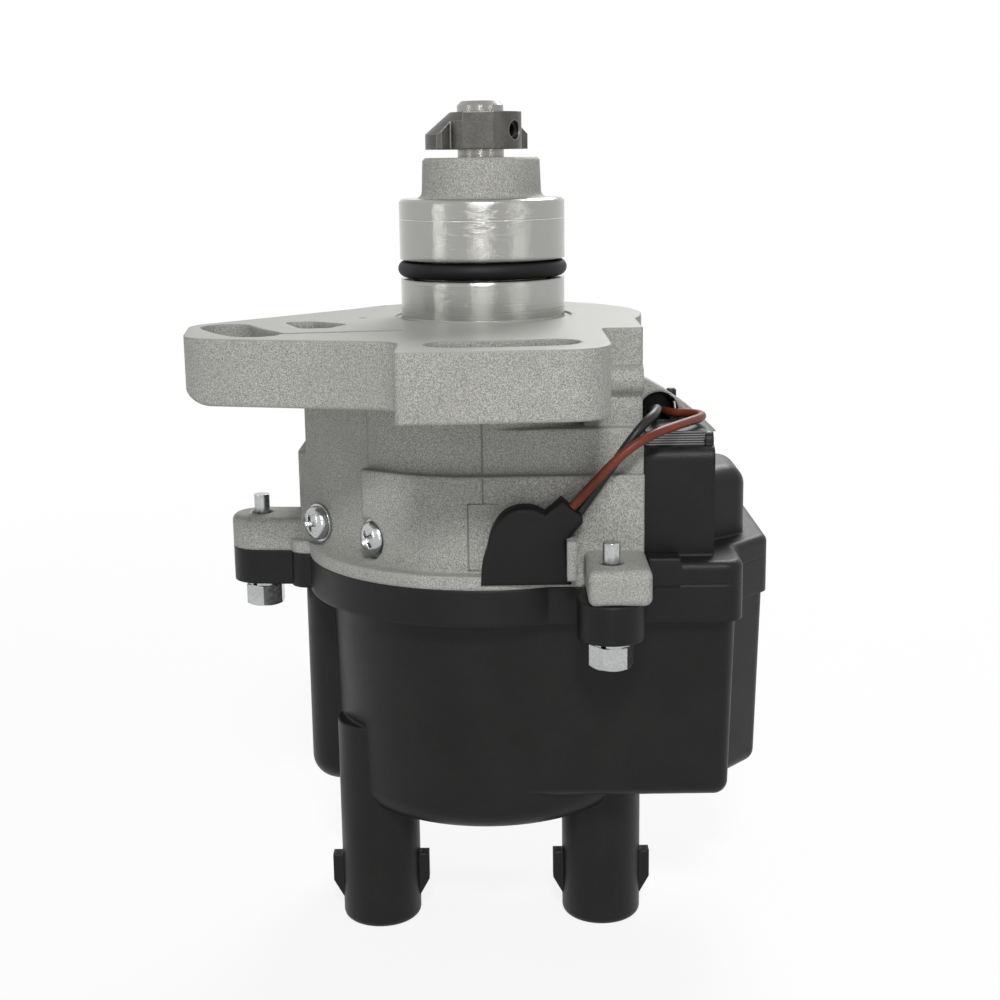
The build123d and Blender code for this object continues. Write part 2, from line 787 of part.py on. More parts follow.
with BuildPart() as drive_coupling:
    coupling_top = coupling_bottom + coupling_height
    # dogs in one band beside the axis
    with BuildSketch(Plane.XY.offset(coupling_bottom)):
        with Locations(Location((0, 0), dog_turn)):
            with Locations((0, -dog_offset)):
                Rectangle(3 * dog_r, dog_width)
        Circle(dog_r, mode=Mode.INTERSECT)
    extrude(amount=coupling_height)
    with BuildSketch(Plane.XY.offset(coupling_bottom)):
        Circle(hub_r)
    extrude(amount=coupling_height)
    # slope of both dogs, which runs on over the hub at the left
    slope_rate = dog_slope_drop / (dog_r - dog_slope_r)
    for start, arc in ((hub_r, 360), (dog_slope_r, 155)):
        with BuildSketch(Plane.YZ):
            with BuildLine():
                Polyline(
                    (start, coupling_top - (start - dog_slope_r) * slope_rate),
                    (dog_r + 1, coupling_top - (dog_r + 1 - dog_slope_r) * slope_rate),
                    (dog_r + 1, coupling_top + 1),
                    (start, coupling_top + 1),
                    close=True,
                )
            make_face()
        revolve(axis=Axis.Z, revolution_arc=arc, mode=Mode.SUBTRACT)
    # milled flat and the shaft's bore
    with BuildSketch(Plane.XY.offset(coupling_bottom)):
        with Locations(Location((0, 0), hub_flat_turn)):
            with Locations((0, -hub_flat - 5)):
                Rectangle(3 * hub_r, 10)
        Circle(shaft_r)
    extrude(amount=coupling_height, mode=Mode.SUBTRACT)
    # cross hole
    with BuildSketch(Plane(origin=(0, 0, pin_z), x_dir=(0, 0, 1), z_dir=pin_dir)):
        Circle(pin_r)
    extrude(amount=2 * hub_r, both=True, mode=Mode.SUBTRACT)
keep(drive_coupling, "drive_coupling")

with BuildPart() as coupling_pin:
    with BuildSketch(Plane(origin=(0, 0, pin_z), x_dir=(0, 0, 1), z_dir=pin_dir)):
        Circle(pin_r)
        Circle(pin_r - 0.7, mode=Mode.SUBTRACT)
        with Locations((pin_r, 0)):
            Rectangle(2 * pin_r, 0.6, mode=Mode.SUBTRACT)
    extrude(amount=hub_r - pin_recess, both=True)
keep(coupling_pin, "coupling_pin")

with BuildPart() as spacer_sleeve:
    with BuildSketch(Plane.XY.offset(speed_rotor_top)):
        Circle(sleeve_r)
        Circle(shaft_r, mode=Mode.SUBTRACT)
    extrude(amount=chamber_top - speed_rotor_top)
keep(spacer_sleeve, "spacer_sleeve")

with BuildPart() as speed_rotor:
    with BuildSketch(Plane.XY.offset(speed_rotor_top - rotor_thickness)):
        Circle(speed_rotor_r)
        with PolarLocations(speed_rotor_r, tooth_count):
            Rectangle(2 * tooth_depth, speed_rotor_r * radians(180 / tooth_count), mode=Mode.SUBTRACT)
        with PolarLocations(speed_rotor_r * 0.64, 4, start_angle=45):
            Circle(2.6, mode=Mode.SUBTRACT)
    extrude(amount=rotor_thickness)
    with BuildSketch(Plane.XY.offset(position_rotor_top)):
        Circle(sleeve_r + 1)
    extrude(amount=speed_rotor_top - position_rotor_top)
    with BuildSketch(Plane.XY.offset(position_rotor_top)):
        Circle(shaft_r)
    extrude(amount=speed_rotor_top - position_rotor_top, mode=Mode.SUBTRACT)
keep(speed_rotor, "speed_rotor")

with BuildPart() as position_rotor:
    with BuildSketch(Plane.XY.offset(position_rotor_bottom)):
        Circle(position_rotor_r - 4)
        with PolarLocations(position_rotor_r / 2, position_lobes):
            Rectangle(position_rotor_r - 1, 6)
        Circle(position_rotor_r, mode=Mode.INTERSECT)
        Circle(shaft_r, mode=Mode.SUBTRACT)
    extrude(amount=rotor_thickness)
keep(position_rotor, "position_rotor")

with BuildPart() as rotor_snap_rings:
    for z in (position_rotor_bottom - snap_ring_thickness, chamber_top + bearing_width):
        with BuildSketch(Plane.XY.offset(z)):
            Circle(shaft_r + 1.2)
            Circle(snap_groove_r, mode=Mode.SUBTRACT)
            with Locations((0, -shaft_r)):
                Rectangle(3.0, 4.0, mode=Mode.SUBTRACT)
        extrude(amount=snap_ring_thickness)
keep(rotor_snap_rings, "rotor_snap_rings")

# Pickups beside the rotors
pickup_back = cover_post_circle + 1.5


def pickup(angle, rotor_r, middle_z, post_start):
    """A pickup with its nose at the rotor and a post up to the chamber's roof."""
    face = rotor_r + air_gap
    body = face + 3.0
    for start, width, height in ((face, 4.0, 3.6), (body, pickup_width, pickup_height)):
        with BuildSketch(Plane.XY.offset(middle_z - height / 2)) as block:
            with Locations(Location((0, 0), angle)):
                with Locations(((start + pickup_back) / 2, 0)):
                    Rectangle(pickup_back - start, width)
        extrude(block.sketch, amount=height)
    with BuildSketch(Plane.XY.offset(middle_z)) as post:
        with Locations(Location((0, 0), angle)):
            with Locations(((post_start + pickup_back) / 2, 0)):
                Rectangle(pickup_back - post_start, pickup_width)
    extrude(post.sketch, amount=chamber_top - middle_z)
    with BuildSketch(Plane.XY.offset(middle_z - pickup_height)) as hole:
        with Locations(around(pickup_screw_circle, angle)):
            Circle(m3_r + bolt_gap)
    extrude(hole.sketch, amount=chamber_top - middle_z + pickup_height, mode=Mode.SUBTRACT)


speed_pickup_z = speed_rotor_top - rotor_thickness / 2
position_pickup_z = position_rotor_top - rotor_thickness / 2

with BuildPart() as speed_pickup:
    pickup(speed_pickup_angle, speed_rotor_r, speed_pickup_z, speed_rotor_r + air_gap + 2.0)
keep(speed_pickup, "speed_pickup")

with BuildPart() as position_pickup:
    pickup(position_pickup_angle, position_rotor_r, position_pickup_z, speed_rotor_r + air_gap + 2.0)
keep(position_pickup, "position_pickup")

with BuildPart() as pickup_screws:
    for (x, y), z in zip(pickup_screw_places, (speed_pickup_z, position_pickup_z)):
        seat = z - pickup_height / 2
        m3_screw(x, y, seat, chamber_top - seat + m3_reach - 0.5)
keep(pickup_screws, "pickup_screws")

# Igniter on the chamber's inner wall, held from outside
igniter_wall = pad_distance - band_step - wall
igniter_thickness = 6.0
igniter_start = pad_inner_start + 0.6
igniter_end = 21.0
igniter_bottom = cover_bottom + cover_thickness + 0.6
igniter_top = -37.0

with BuildPart() as igniter_module:
    igniter_plane = Plane(origin=(0, 0, igniter_bottom), x_dir=pad_along, z_dir=(0, 0, 1))
    with BuildSketch(igniter_plane):
        with Locations(((igniter_start + igniter_end) / 2, igniter_wall - igniter_thickness / 2)):
            Rectangle(igniter_end - igniter_start, igniter_thickness)
    extrude(amount=igniter_top - igniter_bottom)
    for along in igniter_screw_places:
        foot = pad_dir * igniter_wall + pad_along * along + Vector(0, 0, igniter_screw_z)
        with BuildSketch(Plane(origin=foot, x_dir=pad_along, z_dir=pad_dir)):
            Circle(small_screw_r)
        extrude(amount=-igniter_thickness, mode=Mode.SUBTRACT)
keep(igniter_module, "igniter_module")

with BuildPart() as igniter_screws:
    head_face = pad_distance + igniter_washer_thickness + igniter_head_height
    for along in igniter_screw_places:
        seat = pad_dir * (pad_distance + igniter_washer_thickness) + pad_along * along
        seat += Vector(0, 0, igniter_screw_z)
        with BuildSketch(Plane(origin=seat, x_dir=pad_along, z_dir=pad_dir)):
            Circle(igniter_head_r)
        extrude(amount=igniter_head_height)
    fillet(igniter_screws.edges().filter_by(lambda e: abs(e.center().dot(pad_dir) - head_face) < 0.01), igniter_head_dome)
    for along in igniter_screw_places:
        seat = pad_dir * head_face + pad_along * along + Vector(0, 0, igniter_screw_z)
        with BuildSketch(Plane(origin=seat, x_dir=pad_along, z_dir=pad_dir)):
            Circle(small_screw_r)
        extrude(amount=igniter_wall - igniter_thickness + 0.5 - head_face)
        with BuildSketch(Plane(origin=seat, x_dir=pad_along, z_dir=pad_dir)):
            Rectangle(3.6, 0.8)
            Rectangle(0.8, 3.6)
        extrude(amount=-1.3, mode=Mode.SUBTRACT)
keep(igniter_screws, "igniter_screws")

with BuildPart() as igniter_washers:
    for along in igniter_screw_places:
        seat = pad_dir * pad_distance + pad_along * along + Vector(0, 0, igniter_screw_z)
        with BuildSketch(Plane(origin=seat, x_dir=pad_along, z_dir=pad_dir)):
            Circle(igniter_head_r + 0.8)
            Circle(small_screw_r + bolt_gap, mode=Mode.SUBTRACT)
        extrude(amount=igniter_washer_thickness)
keep(igniter_washers, "igniter_washers")

with BuildPart() as dust_cover:
    with BuildSketch(Plane.XY.offset(cover_bottom)):
        chamber_outline(fitted_gap)
        Circle(shaft_r + air_gap, mode=Mode.SUBTRACT)
        with Locations(*[around(cover_post_circle, a) for a in cover_post_angles]):
            Circle(m3_r + bolt_gap, mode=Mode.SUBTRACT)
    extrude(amount=cover_thickness)
keep(dust_cover, "dust_cover")

with BuildPart() as dust_cover_screws:
    for angle in cover_post_angles:
        m3_screw(*around(cover_post_circle, angle), cover_bottom, cover_thickness + m3_reach - 0.5)
keep(dust_cover_screws, "dust_cover_screws")

# Spark rotor
arm_bar_height = 8.0
with BuildPart() as rotor_arm:
    with BuildSketch(Plane.XY.offset(carrier_bottom - arm_foot)):
        Circle(carrier_r)
    extrude(amount=arm_foot)
    with BuildSketch(Plane.XY.offset(rotor_arm_bottom)):
        Circle(arm_screw_circle - m3_head_r - 0.3)
    extrude(amount=carrier_bottom - arm_foot - rotor_arm_bottom)
    with BuildSketch(Plane.XY.offset(rotor_arm_bottom)):
        with Locations(Location((0, 0), rotor_angle)):
            with Locations(((rotor_arm_reach - 8) / 2, 0)):
                Rectangle(rotor_arm_reach + 8, rotor_arm_width)
    extrude(amount=arm_bar_height)
    with BuildSketch(Plane.XY.offset(spigot_bottom)):
        Circle(spigot_r)
    extrude(amount=carrier_bottom - spigot_bottom, mode=Mode.SUBTRACT)
    with BuildSketch(Plane.XY.offset(carrier_bottom - arm_foot)):
        with Locations(*arm_screw_places):
            Circle(m3_r + bolt_gap)
    extrude(amount=arm_foot, mode=Mode.SUBTRACT)
keep(rotor_arm, "rotor_arm")

strip_tip = electrode_circle - electrode_r - air_gap
with BuildPart() as rotor_electrode:
    with BuildSketch(Plane.XY.offset(rotor_arm_bottom - strip_thickness)):
        with Locations(Location((0, 0), rotor_angle)):
            with Locations(((strip_tip - 5) / 2, 0)):
                Rectangle(strip_tip + 5, strip_width)
        Circle(strip_tip, mode=Mode.INTERSECT)
    extrude(amount=strip_thickness)
    with BuildSketch(Plane.XY.offset(rotor_arm_bottom - strip_thickness)):
        with Locations(Location((0, 0), rotor_angle)):
            with Locations(((strip_tip + rotor_arm_reach) / 2, 0)):
                Rectangle(strip_tip - rotor_arm_reach, strip_width)
        Circle(strip_tip, mode=Mode.INTERSECT)
    extrude(amount=strip_thickness + 3.0)
keep(rotor_electrode, "rotor_electrode")

with BuildPart() as rotor_screws:
    for x, y in arm_screw_places:
        m3_screw(x, y, carrier_bottom - arm_foot, arm_foot + carrier_thickness - 0.3)
keep(rotor_screws, "rotor_screws")

# Brush and spring in the middle of the cap
brush_top = rotor_arm_bottom - strip_thickness - face_gap
brush_bottom = brush_top - brush_length
post_top = brush_top - brush_travel - 1.0
bore_floor = cap_floor - 2.0

with BuildPart() as carbon_brush:
    with BuildSketch(Plane.XY.offset(brush_bottom)):
        Circle(brush_r)
    extrude(amount=brush_length)
    chamfer(carbon_brush.edges().group_by(Axis.Z)[-1], 0.4)
keep(carbon_brush, "carbon_brush")

with BuildPart() as brush_spring:
    spring_r = brush_r - 0.5
    spring_length = brush_bottom - bore_floor - 2 * spring_wire_r
    with BuildLine():
        coil_path = Helix(spring_length / 6, spring_length, spring_r, center=(0, 0, bore_floor + spring_wire_r))
    with BuildSketch(Plane(origin=coil_path @ 0, z_dir=coil_path % 0)):
        Circle(spring_wire_r)
    sweep(is_frenet=True)
keep(brush_spring, "brush_spring")

# Lobe at the cap's left
with BuildPart() as cap_lobe:
    with BuildSketch(Plane.XY.offset(cap_bottom)) as lobe_plan:
        with Locations((-lobe_side / 2, (lobe_back + cap_lobe_front) / 2)):
            Rectangle(lobe_side, lobe_back - cap_lobe_front)
        fillet(near(lobe_plan, -lobe_side, lobe_back), 7.0)
        fillet(near(lobe_plan, -lobe_side, cap_lobe_front), 7.0)
    extrude(amount=rim_bottom - cap_bottom)
    fillet(cap_lobe.edges().group_by(Axis.Z)[0].filter_by(lambda e: e.center().X < -1), cap_edge_r)

# Box of the coil, drawn in towards its rounded bottom
with BuildPart() as cap_box:
    with BuildSketch(Plane.XY.offset(rim_bottom)):
        box_outline(box_front, 0, 4.0)
    extrude(amount=box_bottom - rim_bottom, taper=box_draft)
    fillet(cap_box.edges().group_by(Axis.Z)[0].filter_by(lambda e: e.center().X > 1), box_edge_r)

# Cap with its towers and the coil's box
with BuildPart() as distributor_cap:
    # rim under the joint, and the bosses of its bolts
    with BuildSketch(Plane.XY.offset(rim_bottom)):
        joint_outline()
        box_outline(rim_front, rim_step, 4.0)
    extrude(amount=joint_z - rim_bottom)
    with BuildSketch(Plane.XY.offset(rim_bottom)):
        ears([cap_bolt_places[0], cap_bolt_places[2]])
        front_x, front_y = cap_bolt_places[1]
        with Locations((front_x, front_y)):
            Circle(ear_r)
        with Locations((front_x, (front_y + rim_front) / 2 + 1)):
            Rectangle(front_web_width, rim_front - front_y + 2)
    extrude(amount=joint_z - rim_bottom)
    # round body, drawn in a little towards the bottom
    draft_in = (rim_bottom - cap_bottom) * tan(radians(cap_draft))
    with BuildSketch(Plane.XZ) as body_half:
        with BuildLine():
            Polyline(
                (0, cap_bottom),
                (cap_r - draft_in, cap_bottom),
                (cap_r, rim_bottom),
                (0, rim_bottom),
                close=True,
            )
        make_face()
        fillet(near(body_half, cap_r - draft_in, cap_bottom), cap_edge_r)
    revolve(axis=Axis.Z)
    add(cap_lobe.part)
    # box of the coil
    add(cap_box.part)
    # towers with their columns and wings
    for x, y in tower_places:
        with BuildSketch(Plane.XY.offset(tower_bottom)):
            with Locations((x, y)):
                Circle(tower_r)
        extrude(amount=-88.0 - tower_bottom)
    fillet(distributor_cap.edges().group_by(Axis.Z)[0], tower_lead)
    wing_bottom = tower_bottom + wing_lead
    wing_top = wing_bottom + wing_height
    for x, y in tower_places:
        wing_plane = Plane(origin=(x, y, 0), x_dir=(1, 0, 0), z_dir=(0, -1, 0))
        if y > 0:
            wing_plane = Plane(origin=(x, y, 0), x_dir=(0, 1, 0), z_dir=(1, 0, 0))
        with BuildSketch(wing_plane):
            with BuildLine():
                Polyline(
                    (-wing_reach, wing_top),
                    (wing_reach, wing_top),
                    (wing_reach, wing_top - wing_taper),
                    (tower_r - 1, wing_bottom),
                    (1 - tower_r, wing_bottom),
                    (-wing_reach, wing_top - wing_taper),
                    close=True,
                )
            make_face()
        extrude(amount=wing_thickness / 2, both=True)
    # inside above the floor
    with BuildSketch(Plane.XY.offset(cap_floor)):
        chamber_outline()
    extrude(amount=joint_z - cap_floor, mode=Mode.SUBTRACT)
    with BuildSketch(Plane.XY.offset(box_bottom + 5.0)):
        with Locations(((coil_side + 2 + box_side - cap_wall) / 2, (box_front + 3.5 + box_back - 3.5) / 2)):
            Rectangle(box_side - cap_wall - coil_side - 2, box_back - box_front - 7.0)
    extrude(amount=joint_z - box_bottom - 5.0, mode=Mode.SUBTRACT)
    # post of the brush, and its bore
    with BuildSketch(Plane.XY.offset(cap_floor)):
        Circle(brush_post_r)
    extrude(amount=post_top - cap_floor)
    with BuildSketch(Plane.XY.offset(bore_floor)):
        Circle(brush_r + lip_gap)
    extrude(amount=post_top - bore_floor, mode=Mode.SUBTRACT)
    # sockets in the towers, clearance holes of the bolts
    with BuildSketch(Plane.XY.offset(tower_bottom)):
        with Locations(*tower_places):
            Circle(socket_r)
    extrude(amount=socket_length, mode=Mode.SUBTRACT)
    with BuildSketch(Plane.XY.offset(socket_end)):
        with Locations(*tower_places):
            Circle(cup_r)
    extrude(amount=cup_length, mode=Mode.SUBTRACT)
    with BuildSketch(Plane.XY.offset(rim_bottom)):
        with Locations(*cap_bolt_places):
            Circle(cap_bolt_r + bolt_gap)
    extrude(amount=joint_z - rim_bottom, mode=Mode.SUBTRACT)
    # groove of the seal
    with BuildSketch(Plane.XY.offset(joint_z)):
        seal_outline()
    extrude(amount=-seal_height_in_cap, mode=Mode.SUBTRACT)
    add(cap_electrodes.part, mode=Mode.SUBTRACT)
keep(distributor_cap, "distributor_cap")

with BuildPart() as cap_seal:
    with BuildSketch(Plane.XY.offset(joint_z)):
        seal_outline()
    extrude(amount=-seal_height_in_cap)
keep(cap_seal, "cap_seal")

# Bolts that hold the cap up to the housing
head_seat = rim_bottom - bolt_washer_thickness
thread_end = joint_z + ear_height - 0.5

with BuildPart() as cap_bolts:
    for place, turn in zip(cap_bolt_places, bolt_head_turns):
        with BuildSketch(Plane.XY.offset(head_seat - bolt_head_height)):
            with Locations(place):
                RegularPolygon(bolt_head_flats / 2, 6, major_radius=False, rotation=turn)
        extrude(amount=bolt_head_height)
        head_bottom = head_seat - bolt_head_height
        head_corner_r = bolt_head_flats / 2 / cos(radians(30))
        with BuildSketch(Plane.XZ) as head_edge:
            with BuildLine():
                Polyline(
                    (bolt_head_flats / 2 - 0.2, head_bottom),
                    (head_corner_r + 0.1, head_bottom),
                    (head_corner_r + 0.1, head_bottom + bolt_head_chamfer),
                    close=True,
                )
            make_face()
        with BuildPart(mode=Mode.PRIVATE) as head_ring:
            revolve(head_edge.sketch, axis=Axis.Z)
        add(head_ring.part.moved(Location((place[0], place[1], 0))), mode=Mode.SUBTRACT)
        with BuildSketch(Plane.XY.offset(head_bottom)):
            with Locations(place):
                Rectangle(bolt_head_flats * 0.8, 1.2)
        extrude(amount=1.5, mode=Mode.SUBTRACT)
        with BuildSketch(Plane.XY.offset(head_seat)):
            with Locations(place):
                Circle(cap_bolt_r)
        extrude(amount=thread_end - head_seat)
        with BuildSketch(Plane.XY.offset(thread_end)):
            with Locations(place):
                Circle(cap_bolt_dog_r)
        extrude(amount=cap_bolt_tip - thread_end)
keep(cap_bolts, "cap_bolts")

with BuildPart() as cap_bolt_washers:
    with BuildSketch(Plane.XY.offset(head_seat)):
        with Locations(*cap_bolt_places):
            Circle(bolt_washer_r)
            Circle(cap_bolt_r + bolt_gap, mode=Mode.SUBTRACT)
    extrude(amount=bolt_washer_thickness)
keep(cap_bolt_washers, "cap_bolt_washers")

# Coil: winding, core and the housing that holds both
core_leg = (38.0, 43.0)
core_leg_bottom = -80.0
winding_front = -29.5
winding_back = 18.0
winding_bottom = -93.0
core_side = coil_box_side - strip_side_thickness - fitted_gap
neck_width = 6.0
pin_places = [-5.0, 1.0]
connector_z = -41.8
connector_pin_height = 4.9
connector_pin_thickness = 0.8
connector_reach = shell_side + 0.45

with BuildPart() as coil_core:
    for layer in range(core_layers):
        inset = 0.15 * (layer % 2)
        with BuildSketch(Plane.XY.offset(coil_box_top + layer * core_layer)):
            with Locations(((coil_side + air_gap + core_side) / 2, (core_front + core_back) / 2)):
                Rectangle(core_side - coil_side - air_gap - 2 * inset, core_back - core_front - 2 * inset)
        extrude(amount=core_layer)
    with BuildSketch(Plane.XY.offset(core_leg_bottom)):
        with Locations((sum(core_leg) / 2, (core_front + core_back) / 2)):
            Rectangle(core_leg[1] - core_leg[0], 6.0)
    extrude(amount=coil_box_top - core_leg_bottom)
keep(coil_core, "coil_core")

with BuildPart() as ignition_coil:
    winding_middle = (winding_front + winding_back) / 2
    winding_depth = winding_back - winding_front
    upper_side = coil_box_side - coil_wall - coil_gap / 2
    lower_start = coil_side + cap_wall
    lower_side = box_side - cap_wall - coil_gap
    with BuildSketch(Plane.XY.offset(joint_z)):
        with Locations(((core_leg[0] + upper_side) / 2, winding_middle)):
            Rectangle(upper_side - core_leg[0], winding_depth)
    extrude(amount=coil_box_top - coil_wall - face_gap - joint_z)
    with BuildSketch(Plane.XY.offset(winding_bottom)):
        with Locations(((lower_start + lower_side) / 2, winding_middle)):
            Rectangle(lower_side - lower_start, winding_depth)
    extrude(amount=joint_z - coil_gap - winding_bottom)
    with BuildSketch(Plane.XY.offset(joint_z - coil_gap)):
        with Locations((core_leg[0] + neck_width / 2, winding_middle)):
            Rectangle(neck_width, winding_depth - 8)
    extrude(amount=coil_gap)
    add(coil_core.part, mode=Mode.SUBTRACT)
keep(ignition_coil, "ignition_coil")

# Rounded shell of the connector behind the coil housing
with BuildPart() as coil_shell:
    with BuildSketch(Plane.XY.offset(coil_lip_top)) as shell_plan:
        shell_inner = coil_box_side - 3
        with BuildLine():
            Polyline(
                (shell_inner, shell_slant[1]),
                shell_slant,
                (shell_side, shell_front),
                (shell_side, shell_back),
                (shell_inner, shell_back),
                close=True,
            )
        make_face()
        fillet(near(shell_plan, shell_side, shell_front), shell_r)
        fillet(near(shell_plan, shell_side, shell_back), shell_r)
    extrude(amount=shell_top - coil_lip_top)
    fillet(coil_shell.edges().group_by(Axis.Z)[-1].filter_by(lambda e: e.center().X > coil_box_side), shell_r - 0.5)

# Lip of the coil housing on the cap's rim
with BuildPart() as coil_lip:
    with BuildSketch(Plane.XY.offset(joint_z)):
        box_outline(coil_lip_front, rim_step, 4.0)
        with Locations((coil_side - 50, 0)):
            Rectangle(100, 200, mode=Mode.SUBTRACT)
    extrude(amount=coil_lip_top - joint_z)
    fillet(coil_lip.edges().group_by(Axis.Z)[-1].filter_by(lambda e: e.center().X > coil_side + 1 and e.center().Y < 20), coil_lip_edge_r)

with BuildPart() as coil_housing:
    with BuildSketch(Plane.XY.offset(coil_lip_top)):
        with Locations(((coil_side + coil_box_side) / 2, (coil_box_front + coil_box_back) / 2)):
            Rectangle(coil_box_side - coil_side, coil_box_back - coil_box_front)
    extrude(amount=coil_box_top - coil_lip_top)
    front_top = coil_housing.edges().filter_by(lambda e: abs(e.center().Y - coil_box_front) < 0.1)
    fillet(front_top.sort_by(Axis.Z)[-1], 2.5)
    # wall beside the core
    with BuildSketch(Plane.YZ.offset(coil_box_side - strip_side_thickness)) as side_strip:
        with Locations(((core_front + roof_front - 1) / 2, (coil_lip_top + strip_top) / 2)):
            Rectangle(roof_front - 1 - core_front, strip_top - coil_lip_top)
        fillet(near(side_strip, core_front, strip_top), 2.0)
    extrude(amount=strip_side_thickness)
    add(coil_shell.part)
    add(coil_lip.part)
    # pad on the lip's front
    with BuildSketch(Plane.XY.offset(joint_z)):
        with Locations((36.4, coil_lip_front + 1.5)):
            Rectangle(6.6, 4.4)
    extrude(amount=5.8)
    # space for the winding and openings for core, pins and leads
    with BuildSketch(Plane.XY.offset(joint_z)):
        with Locations(((coil_side + coil_box_side) / 2, (coil_box_front + coil_box_back) / 2)):
            Rectangle(coil_box_side - coil_side - 2 * coil_wall, coil_box_back - coil_box_front - 2 * coil_wall)
    extrude(amount=coil_box_top - coil_wall - joint_z, mode=Mode.SUBTRACT)
    with BuildSketch(Plane.XY.offset(coil_box_top)):
        with Locations((sum(core_leg) / 2, (core_front + core_back) / 2)):
            Rectangle(core_leg[1] - core_leg[0] + 2 * fitted_gap, 6.0 + 2 * fitted_gap)
    extrude(amount=-coil_wall, mode=Mode.SUBTRACT)
    with BuildSketch(Plane.YZ.offset(shell_side)):
        with Locations((sum(pin_places) / 2, connector_z)):
            Rectangle(10.0, 7.4)
    extrude(amount=-6.0, mode=Mode.SUBTRACT)
    with BuildSketch(Plane.YZ.offset(shell_side)):
        with Locations(*[(y, connector_z) for y in pin_places]):
            Rectangle(connector_pin_thickness, connector_pin_height)
    extrude(amount=coil_box_side - coil_wall - shell_side, mode=Mode.SUBTRACT)
    for y, z in coil_screw_places:
        with BuildSketch(Plane.YZ.offset(coil_side)):
            with Locations((y, z)):
                Circle(small_screw_r + bolt_gap)
        extrude(amount=coil_wall, mode=Mode.SUBTRACT)
keep(coil_housing, "coil_housing")

with BuildPart() as coil_screws:
    for y, z in coil_screw_places:
        with BuildSketch(Plane.YZ.offset(coil_side + coil_wall)):
            with Locations((y, z)):
                Circle(igniter_head_r)
        extrude(amount=1.8)
        with BuildSketch(Plane.YZ.offset(coil_side + coil_wall)):
            with Locations((y, z)):
                Circle(small_screw_r)
        extrude(amount=-coil_wall - coil_screw_reach + 0.3)
        with BuildSketch(Plane.YZ.offset(coil_side + coil_wall + 1.8)):
            with Locations((y, z)):
                Rectangle(4.0, 0.8)
        extrude(amount=-1.0, mode=Mode.SUBTRACT)
keep(coil_screws, "coil_screws")

with BuildPart() as connector_pins:
    with BuildSketch(Plane.YZ.offset(coil_box_side - coil_wall)):
        with Locations(*[(y, connector_z) for y in pin_places]):
            Rectangle(connector_pin_thickness, connector_pin_height)
    extrude(amount=connector_reach - coil_box_side + coil_wall)
keep(connector_pins, "connector_pins")

# Boot on the front of the housing and the two leads from it into the arch
boot_corners = [
    (-0.8, boot_base_z),
    (2.05, -38.5),
    (8.3, -35.5),
    (12.1, -36.7),
    (16.2, -33.5),
    (20.0, -37.3),
    (17.3, -42.1),
    (17.3, boot_base_z),
]
brown_points = [
    (17.6, -39.7, -35.1),
    (23.2, -40.0, -28.7),
    (28.8, -40.1, -23.2),
    (34.2, -37.6, -20.6),
    (41.0, -30.0, -19.9),
    (46.8, -21.0, -19.9),
    (44.0, -15.6, -20.0),
    (39.2, -13.8, -20.3),
    (38.9, -6.5, -20.6),
]
black_points = [
    (19.2, -38.1, -36.4),
    (27.3, -37.9, -24.9),
    (31.6, -36.7, -19.4),
    (35.0, -32.5, -17.2),
    (36.4, -22.0, -17.8),
    (36.3, -13.5, -20.3),
    (36.3, -6.5, -20.6),
]


def lead(points):
    """A round lead through these points with an arc at each turn."""
    turns = [Vector(*p) for p in points]
    radii = []
    for before, at, after in zip(turns, turns[1:], turns[2:]):
        share = min((at - before).length, (after - at).length) * lead_bend_share
        angle = (at - before).get_angle(after - at)
        radii.append(share / tan(radians(angle / 2)))
    with BuildLine() as path:
        FilletPolyline(*points, radius=radii)
    run = path.wire()
    with BuildSketch(Plane(origin=run @ 0, z_dir=run % 0)) as section:
        Circle(lead_r)
    sweep(section.sketch, path=run)
    print("radii", [round(r, 1) for r in radii], "length", round(run.length, 1), "section", round(section.sketch.area, 3))


with BuildPart() as brown_lead:
    lead(brown_points)
keep(brown_lead, "brown_lead")
print("brown", round(brown_lead.part.volume, 1))

with BuildPart() as black_lead:
    lead(black_points)
keep(black_lead, "black_lead")
print("black", round(black_lead.part.volume, 1))

with BuildPart() as lead_boot:
    boot_back = -(round_r + band_step)
    with BuildSketch(Plane.XZ.offset(-boot_back)) as boot_plan:
        with BuildLine():
            Polyline(*boot_corners, close=True)
        make_face()
    extrude(amount=boot_back - boot_front)
    fillet(lead_boot.edges().group_by(Axis.Y)[0], 1.0)
    add(housing.part, mode=Mode.SUBTRACT)
    add(brown_lead.part, mode=Mode.SUBTRACT)
    add(black_lead.part, mode=Mode.SUBTRACT)
keep(lead_boot, "lead_boot")
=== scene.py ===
"""Looks of an ignition distributor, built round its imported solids."""

import json
import math

import bmesh
import bpy
from mathutils import Euler, Matrix, Vector
from mathutils.bvhtree import BVHTree


